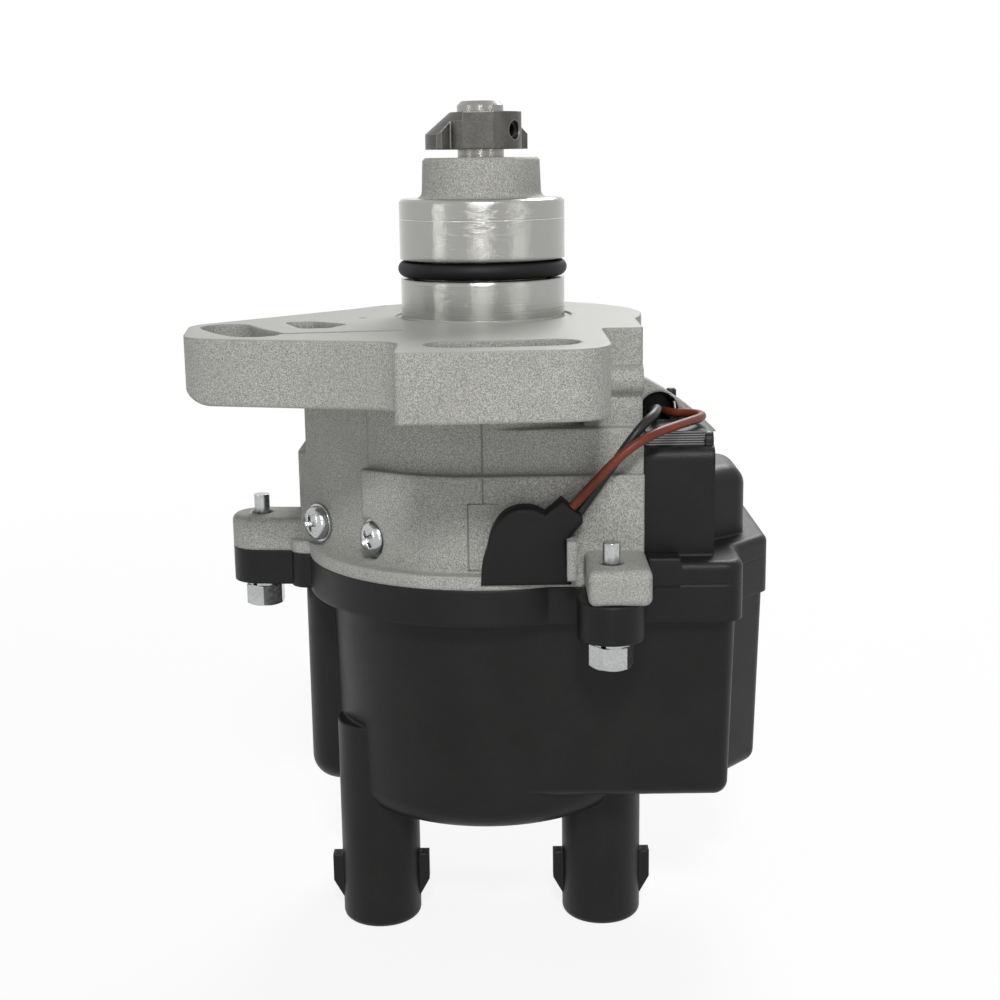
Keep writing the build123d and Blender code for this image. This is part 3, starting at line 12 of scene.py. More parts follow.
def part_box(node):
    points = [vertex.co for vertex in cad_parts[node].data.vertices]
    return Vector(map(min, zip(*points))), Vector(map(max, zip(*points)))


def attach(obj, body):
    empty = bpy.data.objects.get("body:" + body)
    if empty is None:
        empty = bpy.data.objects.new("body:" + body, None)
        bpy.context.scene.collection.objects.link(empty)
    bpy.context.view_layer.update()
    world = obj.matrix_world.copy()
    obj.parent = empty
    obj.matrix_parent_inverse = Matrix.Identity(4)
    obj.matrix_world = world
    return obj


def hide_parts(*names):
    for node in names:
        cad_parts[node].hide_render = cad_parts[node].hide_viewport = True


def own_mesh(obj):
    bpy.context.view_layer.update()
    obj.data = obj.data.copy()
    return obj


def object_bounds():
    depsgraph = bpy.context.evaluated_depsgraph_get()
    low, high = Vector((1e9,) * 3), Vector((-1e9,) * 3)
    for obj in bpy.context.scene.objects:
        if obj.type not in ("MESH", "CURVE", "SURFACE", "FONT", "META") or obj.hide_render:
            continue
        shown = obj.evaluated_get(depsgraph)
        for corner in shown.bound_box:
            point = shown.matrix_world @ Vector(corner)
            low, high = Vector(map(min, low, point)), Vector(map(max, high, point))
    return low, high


bl_info = {
    "name": "Ignition Distributor Looks",
    "version": (1, 0, 0),
    "blender": (4, 5, 0),
    "location": "View3D > Sidebar > Distributor",
    "description": "Dresses the solids of an ignition distributor",
    "category": "Object",
}

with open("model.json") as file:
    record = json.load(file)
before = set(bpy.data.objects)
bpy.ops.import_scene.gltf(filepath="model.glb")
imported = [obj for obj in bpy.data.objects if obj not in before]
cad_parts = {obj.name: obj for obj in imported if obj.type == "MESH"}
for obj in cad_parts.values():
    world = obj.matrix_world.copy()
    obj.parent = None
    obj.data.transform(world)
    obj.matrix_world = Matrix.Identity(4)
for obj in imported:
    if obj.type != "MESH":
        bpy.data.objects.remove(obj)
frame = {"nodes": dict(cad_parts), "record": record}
CAD_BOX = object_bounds()
MM = 0.001
FLOOR_Z = CAD_BOX[0][2]
# Materials that are made already, by slot
READY = {}

# All sizes are in metres, except where a comment says mm.

# Machined places of the casting
LAND_R = 0.0186
LAND_HEIGHTS = (0.0002, 0.0254)
SCRIBE_Z = 0.0210
PUNCH_MARKS = ((-0.0264, -0.0043), (-0.0240, 0.0241))
# Distances from a mark's middle, or a line's, at which it has faded out and is at its deepest
PUNCH_FADE = (0.0013, 0.0006)
SCRIBE_FADE = (0.00012, 0.00004)
CAST_EDGE = 0.0012
# Rings and grooves of the turning, in a metre of height
RINGS = 40000.0
GROOVES = 4000.0
SKIN_DEPTH = 0.00016
# How far a normal turns where an edge's painted highlight starts, and where it is full
EDGE_TURN = (0.01, 0.18)
SHEET_PITCH = 0.0005
# Sockets of the node that mixes two colours
MIX_SHARE, MIX_FIRST, MIX_SECOND, MIX_RESULT = 0, 6, 7, 2
# Meshes are smooth up to this angle between two faces
SMOOTH_ANGLE = math.radians(38)
WELD = 1e-7

# Lamps: name, place, size and watts; all look at about the middle of the part
LAMPS = (
    ("key", (0.02, -1.0, 0.80), (0.20, 0.20), 11.3),
    ("left_strip", (-1.0, -0.60, 0.20), (0.025, 0.6), 0.8),
    ("middle_strip", (-0.01, -1.3, 0.12), (0.025, 0.7), 1.5),
    ("right_strip", (0.95, -0.75, 0.20), (0.025, 0.6), 0.7),
    ("back", (0.3, 1.0, 0.85), (0.5, 0.5), 12.0),
)
LAMP_TARGET = (0, 0, -0.04)
FLOOR_REACH = 6.0
SENSOR_WIDTH = 36.0
PICTURE_WIDTH = 1000.0

# The points that the leads are led by, as in the part's source
BROWN_ROUTE = (
    (0.0176, -0.0397, -0.0351),
    (0.0232, -0.0400, -0.0287),
    (0.0288, -0.0401, -0.0232),
    (0.0342, -0.0376, -0.0206),
    (0.0410, -0.0300, -0.0199),
    (0.0468, -0.0210, -0.0199),
    (0.0440, -0.0156, -0.0200),
    (0.0392, -0.0138, -0.0203),
    (0.0389, -0.0065, -0.0206),
)
BLACK_ROUTE = (
    (0.0192, -0.0381, -0.0364),
    (0.0273, -0.0379, -0.0249),
    (0.0316, -0.0367, -0.0194),
    (0.0350, -0.0325, -0.0172),
    (0.0364, -0.0220, -0.0178),
    (0.0363, -0.0135, -0.0203),
    (0.0363, -0.0065, -0.0206),
)
# Leads: the node that each replaces, its route, slot and length
LEADS = (
    ("brown_lead", BROWN_ROUTE, "brown_insulation", 0.0608),
    ("black_lead", BLACK_ROUTE, "black_insulation", 0.0529),
)
LEAD_R = 0.00095

# Walls of the housing, and the thin lines on them
BAND_R = 0.0367
WALL_R = 0.0347
SEAM_X = -0.0004
BAND_SEAM_TOP = -0.0297
WALL_SEAM = (-0.0180, -0.0290)
# Left and right as X, top and bottom as Z
LABEL_FRAME = (-0.0035, 0.0030, -0.0349, -0.0487)

# Screws and washers; the side screws' pad faces out and runs along
BOLT_PLACES = ((-0.0513, 0.0043), (0.0250, -0.0472), (0.0180, 0.0482))
WASHER_SEAT = -0.0600
PAD_OUT = Vector((-0.7431, -0.6691, 0.0))
PAD_ALONG = Vector((-0.6691, 0.7431, 0.0))
SCREW_SEAT = 0.0344
SCREW_PLACES = (-0.0034, 0.0170)
SCREW_Z = -0.0442
SCREW_TURNS = (35.0, 8.0)
RECESS_TOP = 0.0025
RECESS_DEPTH = 0.0013
RECESS_HALF_ARM = 0.00058
RECESS_REACH = 0.0023
# At its foot the cross reaches this share of its width at the top
RECESS_FOOT = 0.42
RECESS_OVERCUT = 0.0003
WASHER_BORE = 0.0027
FLAT_WASHER = 0.0005
SPRING_RING = 0.00078
# The spring ring is narrower than the flat washer, split and slightly twisted
RING_INSET = 0.0002
RING_TRIM = 0.0005
RING_START = math.radians(250)
RING_SWEEP = math.radians(346)
RING_CLIMB = 0.00012
ROUND_STEPS = 48

# Core's sheets: X from and to, Y from and to
CORE_BOX = (0.0333, 0.0455, -0.0295, -0.0139)
CORE_FOOT = -0.0246
CORE_TOP = -0.0216
SHEET_CORNER = 0.0006
# The most that a sheet lies out of line
SHEET_STRAY = Vector((0.00012, 0.00018, 0.0))
STUD_BOX = ((0.0397, -0.0088, -0.0186), (0.0418, -0.0066, -0.0158))
STUD_EDGE = 0.0005

# Black plug in the arch, painted shade for its inside, shaped as a grommet: its middle, then radius and
# height in mm from the front face inwards
SHADE_PLUG_PLACE = Vector((0.0376, -0.0065, -0.0200))
SHADE_PLUG_PROFILE = (
    (0.0, 2.0),
    (2.9, 2.0),
    (3.5, 1.85),
    (3.85, 1.5),
    (3.95, 1.0),
    (3.95, -0.6),
    (3.7, -1.0),
    (0.0, -1.0),
)

# Boot: Y of its face, the roundness of the rim, its least depth, and how far before it a ray starts
BOOT_FRONT = -0.0409
BOOT_EDGE = 0.0011
BOOT_LEAST = 0.002
BOOT_START = 0.005
# Outline of its face in mm as X and Z: a soft curve through so many points, then corners
BOOT_SOFT = 10
BOOT_OUTLINE = (
    (-1.05, -51.1),
    (-0.58, -46.5),
    (0.35, -43.4),
    (1.14, -40.3),
    (2.44, -37.7),
    (4.35, -35.8),
    (6.87, -34.9),
    (9.61, -34.95),
    (11.36, -35.7),
    (12.22, -36.2),
    (15.50, -33.3),
    (19.73, -37.1),
    (19.73, -38.3),
    (17.59, -40.8),
    (16.46, -42.3),
    (16.83, -45.2),
    (17.43, -51.1),
)
# Radius and height over the washer, in mm, from the middle of the head to the end of the thread
SCREW_PROFILE = (
    (0.0, 2.42),
    (1.1, 2.38),
    (2.2, 2.15),
    (3.0, 1.75),
    (3.5, 1.2),
    (3.72, 0.65),
    (3.78, 0.35),
    (3.7, 0.08),
    (3.5, 0.0),
    (1.9, 0.0),
    (1.9, -9.4),
    (1.5, -9.9),
    (0.0, -9.9),
)


# Shader nodes
class Sock:
    """A shader socket or a number that takes part in arithmetic."""

    def __init__(self, shader, value):
        self.shader = shader
        self.value = value

    def _op(self, operation, other, swap=False):
        first, second = (other, self) if swap else (self, other)
        return self.shader.maths(operation, first, second)

    def __add__(self, other):
        return self._op("ADD", other)

    def __radd__(self, other):
        return self._op("ADD", other, True)

    def __sub__(self, other):
        return self._op("SUBTRACT", other)

    def __rsub__(self, other):
        return self._op("SUBTRACT", other, True)

    def __mul__(self, other):
        return self._op("MULTIPLY", other)

    def __gt__(self, other):
        return self._op("GREATER_THAN", other)

    def __lt__(self, other):
        return self._op("LESS_THAN", other)

    def abs(self):
        return self.shader.maths("ABSOLUTE", self)


class Shader:
    """Builds one material's nodes."""

    def __init__(self, name):
        self.material = bpy.data.materials.new(name)
        self.material.use_nodes = True
        self.tree = self.material.node_tree
        self.tree.nodes.clear()
        self.out = self.tree.nodes.new("ShaderNodeOutputMaterial")
        self.surface = self.tree.nodes.new("ShaderNodeBsdfPrincipled")
        self.tree.links.new(self.surface.outputs[0], self.out.inputs[0])
        where = self.tree.nodes.new("ShaderNodeTexCoord")
        self.where = Sock(self, where.outputs["Object"])
        apart = self.node("ShaderNodeSeparateXYZ", {}, {0: self.where})
        self.x, self.y, self.z = (Sock(self, apart.outputs[n]) for n in range(3))

    @classmethod
    def over(cls, tree):
        """Builds nodes in a tree that is no material's, such as the world's."""
        s = cls.__new__(cls)
        s.tree = tree
        tree.nodes.clear()
        return s

    def plug(self, socket, value):
        if isinstance(value, Sock):
            value = value.value
        if isinstance(value, bpy.types.NodeSocket):
            self.tree.links.new(value, socket)
        elif socket.type == "RGBA" and len(value) == 3:
            socket.default_value = (*value, 1.0)
        else:
            socket.default_value = value

    def node(self, kind, settings, values):
        """Adds a node: its settings first, then the values or links of its sockets."""
        made = self.tree.nodes.new(kind)
        for key, value in settings.items():
            setattr(made, key, value)
        for key, value in values.items():
            self.plug(made.inputs[key], value)
        return made

    def maths(self, operation, first, second=None):
        values = {0: first} if second is None else {0: first, 1: second}
        return Sock(self, self.node("ShaderNodeMath", {"operation": operation}, values).outputs[0])

    def noise(self, scale, detail=3.0, where=None):
        """Smooth random values round 0.5, with so many lumps in a metre."""
        made = self.node(
            "ShaderNodeTexNoise",
            {"noise_dimensions": "3D"},
            {"Vector": where or self.where, "Scale": scale, "Detail": detail, "Roughness": 0.55},
        )
        return Sock(self, made.outputs["Fac"])

    def cells(self, scale):
        """Distance from the nearest of scattered points, with so many cells in a metre."""
        made = self.node("ShaderNodeTexVoronoi", {"feature": "F1"}, {"Vector": self.where, "Scale": scale})
        return Sock(self, made.outputs["Distance"])

    def ramp(self, value, low, high):
        """0 below the low value, 1 above the high one."""
        made = self.node(
            "ShaderNodeMapRange",
            {"interpolation_type": "SMOOTHSTEP"},
            {"Value": value, "From Min": low, "From Max": high, "To Min": 0.0, "To Max": 1.0},
        )
        return Sock(self, made.outputs["Result"])

    def mix(self, share, first, second):
        """A colour between two others."""
        made = self.node("ShaderNodeMix", {"data_type": "RGBA"}, {})
        self.plug(made.inputs[MIX_SHARE], share)
        self.plug(made.inputs[MIX_FIRST], first)
        self.plug(made.inputs[MIX_SECOND], second)
        return Sock(self, made.outputs[MIX_RESULT])

    def vector(self, x, y, z):
        made = self.node("ShaderNodeCombineXYZ", {}, {0: x, 1: y, 2: z})
        return Sock(self, made.outputs[0])

    def bump(self, height, strength, distance, over=None):
        values = {"Strength": strength, "Distance": distance, "Height": height}
        if over is not None:
            values["Normal"] = over
        return Sock(self, self.node("ShaderNodeBump", {}, values).outputs[0])

    def edges(self, size):
        """Normals rounded off over the edges, and a value that is 1 on them."""
        soft = self.node("ShaderNodeBevel", {"samples": 6}, {"Radius": size}).outputs[0]
        plain = self.node("ShaderNodeNewGeometry", {}, {}).outputs["Normal"]
        match = self.node("ShaderNodeVectorMath", {"operation": "DOT_PRODUCT"}, {0: soft, 1: plain})
        return Sock(self, soft), self.ramp(1.0 - Sock(self, match.outputs["Value"]), *EDGE_TURN)

    def radius(self):
        """Distance from the shaft's axis."""
        return self.maths("SQRT", self.x * self.x + self.y * self.y)

    def finish(self, **sockets):
        for name, value in sockets.items():
            self.plug(self.surface.inputs[name.replace("_", " ")], value)
        return self.material


def straight_ray(s, seen):
    """1 for the rays of the camera and those that a mirror or glass sends on."""
    camera, glossy, through = (
        Sock(s, seen.outputs[name]) for name in ("Is Camera Ray", "Is Glossy Ray", "Is Transmission Ray")
    )
    return s.maths("MAXIMUM", s.maths("MAXIMUM", camera, glossy), through)


# Finishes, one for each material slot of the record
def casting(look):
    """Sandblasted aluminium, with the pilot's lands and the flange's face machined."""
    s = Shader("cast_aluminium")
    soft, edge = s.edges(CAST_EDGE)
    grain = s.noise(3800, 2.0)
    sparkle = s.noise(8000, 1.0)
    broad = s.noise(45, 3.0)
    pits = s.cells(1500)
    r = s.radius()
    lands = (s.z > LAND_HEIGHTS[0]) * (s.z < LAND_HEIGHTS[1]) * (r < LAND_R)
    face = s.ramp(s.z, -0.0003, -0.0001) * (1.0 - lands) * (s.z < 0.001)
    dark = tuple(c * 0.56 for c in look.casting)
    light = tuple(min(1.0, c * 1.55) for c in look.casting)
    skin = s.mix(s.ramp(grain * 0.5 + sparkle * 0.5, 0.38, 0.63), dark, light)
    skin = s.mix(s.ramp(broad, 0.35, 0.7) * 0.35, skin, look.casting_stain)
    # Edges painted paler towards the turned colour: a painted highlight along them
    skin = s.mix(edge * 0.4, skin, look.turned)
    skin = s.mix(face * 0.6, skin, tuple(c * 0.92 for c in look.turned))
    rings = s.noise(1.0, 2.0, where=s.vector(0.0, 0.0, s.z * RINGS))
    grooves = s.noise(1.0, 1.0, where=s.vector(0.0, 0.0, s.z * GROOVES))
    bright = s.mix(s.ramp(rings, 0.3, 0.7), tuple(c * 0.86 for c in look.turned), look.turned)
    scribe = s.ramp((s.z - SCRIBE_Z).abs(), *SCRIBE_FADE) * lands
    height = grain * 0.8 + sparkle * 0.5 - pits * 0.4
    turning = (rings * 0.12 + grooves * 0.10) * lands
    height = height * (1.0 - lands) * (1.0 - face * 0.7) + turning - scribe * 0.6
    for x, y in PUNCH_MARKS:
        away = s.maths("SQRT", (s.x - x) * (s.x - x) + (s.y - y) * (s.y - y))
        pit = s.ramp(away, *PUNCH_FADE) * (s.z > -0.001)
        height = height - pit * 3.0
        # Inside the punch marks the colour is painted nearly black: painted shade in the pits
        skin = s.mix(pit * 0.7, skin, (0.05, 0.05, 0.048))
    return s.finish(
        Base_Color=s.mix(lands, skin, s.mix(scribe * 0.6, bright, (0.75, 0.75, 0.72))),
        Metallic=0.05 + lands * 0.95,
        Specular_IOR_Level=0.25,
        Roughness=(0.50 + (grain - 0.5) * 0.25 - face * 0.08) * (1.0 - lands) + lands * (0.09 + rings * 0.05),
        Normal=s.bump(height, 0.75, SKIN_DEPTH, soft),
    )


def metal(name, colour, rough, bump_scale=3000, streak=0.25, bump=0.15, edge_size=0.0, edge_highlight=None):
    """Plain metal with fine tool marks, a little stain and edges painted lighter as a highlight."""
    s = Shader(name)
    soft = None
    fine = s.noise(bump_scale, 2.0)
    broad = s.noise(180, 3.0)
    tone = s.mix(s.ramp(broad * 0.5 + fine * 0.5, 0.3, 0.7), tuple(c * (1 - streak) for c in colour), colour)
    if edge_size:
        soft, edge = s.edges(edge_size)
        # Edges painted towards a lighter colour: a painted highlight along them
        tone = s.mix(edge * 0.8, tone, edge_highlight or colour)
    return s.finish(
        Base_Color=tone,
        Metallic=1.0,
        Roughness=rough + (fine - 0.5) * 0.2,
        Normal=s.bump(fine, bump, 0.00005, soft),
    )


def moulded(name, colour, rough, grain_scale=3500, bump=0.35, edge_size=0.0):
    """Moulded plastic or rubber with a fine matt grain, its edges painted paler as a highlight."""
    s = Shader(name)
    grain = s.noise(grain_scale, 2.0)
    broad = s.noise(90, 3.0)
    low, high = (tuple(c * share for c in colour) for share in (0.8, 1.35))
    tone = s.mix(s.ramp(grain * 0.5 + broad * 0.5, 0.35, 0.68), low, high)
    soft = None
    if edge_size:
        soft, edge = s.edges(edge_size)
        # Edges painted four times paler: a painted highlight along them
        tone = s.mix(edge * 0.35, tone, tuple(c * 4.0 for c in colour))
    return s.finish(
        Base_Color=tone,
        Roughness=rough + (broad - 0.5) * 0.25 + (grain - 0.5) * 0.15,
        Specular_IOR_Level=0.22,
        Normal=s.bump(grain, bump, 0.00006, soft),
    )


def finish_of(slot):
    """The material of a slot of the record, made at its first use."""
    if slot not in READY:
        READY[slot] = finishes(bpy.context.scene.distributor_look, slot)
    return READY[slot]


def finishes(look, slot):
    """Makes the material of one slot."""
    made = {
        "cast_aluminium": lambda: casting(look),
        "machined_steel": lambda: metal("machined_steel", look.steel, rough=0.28),
        "sintered_steel": lambda: metal(
            "sintered_steel",
            look.coupling,
            rough=0.42,
            bump_scale=2200,
            streak=0.4,
            bump=0.5,
            edge_size=0.0005,
            edge_highlight=look.steel,
        ),
        "dark_steel": lambda: metal("dark_steel", look.dark_steel, rough=0.4),
        "bearing_steel": lambda: metal(
            "bearing_steel", (0.62, 0.62, 0.62), rough=0.12, bump_scale=4000, streak=0.1, bump=0.05
        ),
        "pressed_steel": lambda: metal("pressed_steel", (0.50, 0.50, 0.50), rough=0.35),
        "zinc_plated_steel": lambda: metal(
            "zinc_plated_steel",
            look.zinc,
            rough=0.22,
            bump_scale=1800,
            streak=0.25,
            bump=0.25,
            edge_size=0.0003,
            edge_highlight=look.zinc,
        ),
        "sintered_bronze": lambda: metal(
            "sintered_bronze", (0.50, 0.33, 0.16), rough=0.45, bump_scale=2200, streak=0.4, bump=0.4
        ),
        "brass": lambda: metal("brass", (0.66, 0.50, 0.24), rough=0.25),
        "laminated_iron": lambda: laminations(),
        "black_rubber": lambda: moulded("black_rubber", look.rubber, rough=0.55),
        "black_plastic": lambda: moulded(
            "black_plastic", look.plastic, rough=0.42, grain_scale=3000, bump=0.9, edge_size=0.0009
        ),
        "potting_resin": lambda: moulded("potting_resin", (0.05, 0.035, 0.02), rough=0.25),
        "carbon": lambda: moulded("carbon", (0.03, 0.03, 0.032), rough=0.5),
        "brown_insulation": lambda: moulded(
            "brown_insulation", look.brown, rough=0.42, grain_scale=2500, bump=0.15
        ),
        "black_insulation": lambda: moulded(
            "black_insulation", (0.02, 0.02, 0.02), rough=0.42, grain_scale=2500, bump=0.15
        ),
    }
    return made[slot]()


def laminations():
    """Varnished iron sheets, their edges bright between dark joints."""
    s = Shader("laminated_iron")
    fine = s.noise(2500, 2.0)
    sheet = s.maths("SINE", s.z * (2 * math.pi / SHEET_PITCH))
    edge = s.ramp(sheet + (fine - 0.5), -0.2, 0.5)
    return s.finish(
        Base_Color=s.mix(edge, (0.03, 0.03, 0.03), (0.20, 0.20, 0.20)),
        Metallic=0.6,
        Roughness=0.45 + (fine - 0.5) * 0.3,
        Normal=s.bump(sheet, 0.3, 0.00005),
    )


# Sizes and colours that a user would change
def colour(name, description, default):
    return bpy.props.FloatVectorProperty(
        name=name, description=description, default=default, size=3, min=0.0, max=1.0, subtype="COLOR"
    )


def length(name, description, default):
    return bpy.props.FloatProperty(name=name, description=description, default=default, unit="LENGTH")


def count(name, description, default, least):
    return bpy.props.IntProperty(name=name, description=description, default=default, min=least)


class DistributorLook(bpy.types.PropertyGroup):
    """Colours of the finishes, and sizes of the grown pieces."""

    casting: colour("Casting", "Sandblasted aluminium", (0.32, 0.32, 0.30))
    casting_stain: colour("Casting stain", "Duller patches of the casting", (0.25, 0.25, 0.235))
    turned: colour("Turned lands", "Machined aluminium of the pilot", (0.38, 0.38, 0.36))
    steel: colour("Steel", "Ground steel of the shaft", (0.34, 0.33, 0.31))
    coupling: colour("Coupling", "Sintered steel of the drive coupling", (0.115, 0.112, 0.104))
    dark_steel: colour("Dark steel", "Oil blackened pins and rings", (0.16, 0.155, 0.15))
    zinc: colour("Zinc", "Bright zinc of the screws", (0.52, 0.53, 0.53))
    rubber: colour("Rubber", "Rings, seals and the boot", (0.0045, 0.0048, 0.0048))
    plastic: colour("Plastic", "Black moulded cap and coil housing", (0.0058, 0.006, 0.0056))
    brown: colour("Brown lead", "Sleeve of the brown lead", (0.13, 0.028, 0.015))

    core_sheets: count("Core sheets", "Sheets of the core that show", 6, 1)
    sheet_thickness: length("Sheet", "Thickness of a core sheet", 0.00036)
    washer_radius: length("Washer", "Radius of the bolts' washers", 0.0046)
    spring_wire: length("Spring wire", "Radius of the brush spring's wire", 0.00025)
    spring_turns: count("Spring turns", "Turns of the brush spring", 6, 2)
    ridge_radius: length("Ridge", "Radius of the casting's thin lines", 0.00016)


class StudioSettings(bpy.types.PropertyGroup):
    """Camera and studio."""

    focal_px: bpy.props.FloatProperty(
        name="Focal length", description="In pixels of a 1000 pixel wide picture", default=1600.0
    )
    pitch: bpy.props.FloatProperty(
        name="Pitch", description="Downward tilt of the camera", default=math.radians(12.1), subtype="ANGLE"
    )
    roll: bpy.props.FloatProperty(
        name="Roll", description="Turn of the camera about its view", default=-0.0137, subtype="ANGLE"
    )
    ambient: bpy.props.FloatProperty(
        name="Ambient", description="Strength of the light all round", default=0.15, min=0.0
    )
    place: bpy.props.FloatVectorProperty(
        name="Place",
        description="Camera position",
        default=(0.003126, -0.35365, 0.03392),
        size=3,
        subtype="TRANSLATION",
        unit="LENGTH",
    )


# Meshes
def tree_of(node):
    """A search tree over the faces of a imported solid."""
    mesh = frame["nodes"][node].data
    return BVHTree.FromPolygons([v.co for v in mesh.vertices], [p.vertices[:] for p in mesh.polygons])


def smooth_outline(corners, soft, steps=4):
    """The corners, with a curve through the first ones, as many as soft says."""
    flat = [Vector(c) for c in corners]
    outline = []
    for at in range(soft - 1):
        before, start, end, after = flat[max(at - 1, 0)], flat[at], flat[at + 1], flat[min(at + 2, soft - 1)]
        for step in range(steps):
            t = step / steps
            square = (2 * before - 5 * start + 4 * end - after) * t * t
            cube = (3 * start - before - 3 * end + after) * t ** 3
            outline.append(0.5 * (2 * start + (end - before) * t + square + cube))
    return outline + flat[soft - 1 :]


def lathed(profile, turns):
    """A mesh turned from a profile of radii and heights, which starts and ends on the axis."""
    mesh = bmesh.new()
    rings = []
    for radius, height in profile:
        if radius == 0.0:
            rings.append([mesh.verts.new((0, 0, height))] * turns)
            continue
        angles = (2 * math.pi * at / turns for at in range(turns))
        rings.append([mesh.verts.new((radius * math.cos(a), radius * math.sin(a), height)) for a in angles])
    for upper, lower in zip(rings, rings[1:]):
        for at in range(turns):
            onward = (at + 1) % turns
            corners = [upper[at], upper[onward], lower[onward], lower[at]]
            mesh.faces.new(dict.fromkeys(corners))
    bmesh.ops.recalc_face_normals(mesh, faces=mesh.faces)
    made = bpy.data.meshes.new("lathed")
    mesh.to_mesh(made)
    mesh.free()
    return made


def cross_recess(top, depth, half, reach):
    """The tapered cross that is cut into a screw's head."""
    mesh = bmesh.new()
    rings = []
    for height, share in ((top, 1.0), (top - depth - RECESS_OVERCUT, RECESS_FOOT)):
        # The arms narrow less than they shorten
        h, r = half * (0.4 + 0.6 * share), reach * share
        plan = [
            (r, -h), (r, h), (h, h), (h, r), (-h, r), (-h, h),
            (-r, h), (-r, -h), (-h, -h), (-h, -r), (h, -r), (h, -h),
        ]
        rings.append([mesh.verts.new((x, y, height)) for x, y in plan])
    mesh.faces.new(rings[0])
    mesh.faces.new(rings[1][::-1])
    for at in range(12):
        onward = (at + 1) % 12
        mesh.faces.new((rings[0][onward], rings[0][at], rings[1][at], rings[1][onward]))
    bmesh.ops.recalc_face_normals(mesh, faces=mesh.faces)
    made = bpy.data.meshes.new("cross")
    mesh.to_mesh(made)
    mesh.free()
    return made


def boolean(first, second, operation):
    """The two meshes combined."""
    body, tool = (bpy.data.objects.new(mesh.name, mesh) for mesh in (first, second))
    for each in (body, tool):
        bpy.context.scene.collection.objects.link(each)
    cut = body.modifiers.new("cut", "BOOLEAN")
    cut.operation = operation
    cut.solver = "EXACT"
    cut.object = tool
    made = evaluated(body)
    for each in (body, tool):
        bpy.data.objects.remove(each)
    return made


def evaluated(thing):
    """The mesh of an object with its modifiers."""
    graph = bpy.context.evaluated_depsgraph_get()
    graph.update()
    return bpy.data.meshes.new_from_object(thing.evaluated_get(graph), depsgraph=graph)


def on_wall(radius, corners, step=0.0006):
    """Points on the front of a wall of this radius, along a line of corners given as X and Z."""
    line = []
    for (x, z), (to_x, to_z) in zip(corners, corners[1:]):
        parts = max(1, round(math.hypot(to_x - x, to_z - z) / step))
        line += [(x + (to_x - x) * at / parts, z + (to_z - z) * at / parts) for at in range(parts)]
    line.append(corners[-1])
    return [(x, -math.sqrt(radius * radius - x * x), z) for x, z in line]


def add_object(name, mesh, slot, replaced=None):
    """A piece that stands still with the housing."""
    mesh.name = name
    if not mesh.materials:
        mesh.materials.append(finish_of(slot))
    mesh.shade_smooth()
    mesh.set_sharp_from_angle(angle=SMOOTH_ANGLE)
    piece = bpy.data.objects.new(name, mesh)
    bpy.context.scene.collection.objects.link(piece)
    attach(piece, "distributor_body")
    if replaced:
        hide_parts(replaced)
    return piece


def add_piece(name, shape, slot, replaced=None):
    mesh = bpy.data.meshes.new(name)
    shape.to_mesh(mesh)
    shape.free()
    return add_object(name, mesh, slot, replaced)


class Recipe:
    """Builds one tree of Geometry Nodes with named inputs."""

    def __init__(self, name, slot):
        self.slot = slot
        self.tree = bpy.data.node_groups.new(name, "GeometryNodeTree")
        self.tree.interface.new_socket(name="Geometry", in_out="INPUT", socket_type="NodeSocketGeometry")
        self.tree.interface.new_socket(name="Geometry", in_out="OUTPUT", socket_type="NodeSocketGeometry")
        self.entry = self.tree.nodes.new("NodeGroupInput")
        self.start = self.entry.outputs["Geometry"]
        self.sizes = {}

    def value(self, name, kind, value):
        """A named input and what the piece sets it to."""
        made = self.tree.interface.new_socket(name=name, in_out="INPUT", socket_type=kind)
        self.sizes[made.identifier] = value
        return self.entry.outputs[name]

    def node(self, kind, settings, values):
        made = self.tree.nodes.new(kind)
        for key, value in settings.items():
            setattr(made, key, value)
        for key, value in values.items():
            socket = made.inputs[key]
            if isinstance(value, bpy.types.NodeSocket):
                self.tree.links.new(value, socket)
            else:
                socket.default_value = value
        return made

    def maths(self, operation, first, second):
        return self.node("ShaderNodeMath", {"operation": operation}, {0: first, 1: second}).outputs[0]

    def joined(self, *parts):
        made = self.tree.nodes.new("GeometryNodeJoinGeometry")
        for part in parts:
            self.tree.links.new(part, made.inputs[0])
        return made.outputs[0]

    def moved(self, geometry, up):
        lift = self.node("ShaderNodeCombineXYZ", {}, {"Z": up}).outputs[0]
        return self.node("GeometryNodeSetPosition", {}, {"Geometry": geometry, "Offset": lift}).outputs[0]

    def swept(self, path, width, height):
        """A bar of rectangular section along a path in the XY plane."""
        section = self.node("GeometryNodeCurvePrimitiveQuadrilateral", {}, {"Width": width, "Height": height})
        return self.skinned(path, section)

    def skinned(self, path, section):
        """A closed skin round a path, with the section that a node makes."""
        values = {"Curve": path, "Profile Curve": section.outputs[0], "Fill Caps": True}
        return self.node("GeometryNodeCurveToMesh", {}, values).outputs[0]

    def end(self, geometry):
        real = self.node("GeometryNodeRealizeInstances", {}, {"Geometry": geometry}).outputs[0]
        dressed = self.node("GeometryNodeSetMaterial", {}, {"Geometry": real})
        dressed.inputs["Material"].default_value = finish_of(self.slot)
        out = self.tree.nodes.new("NodeGroupOutput")
        self.tree.links.new(dressed.outputs[0], out.inputs[0])


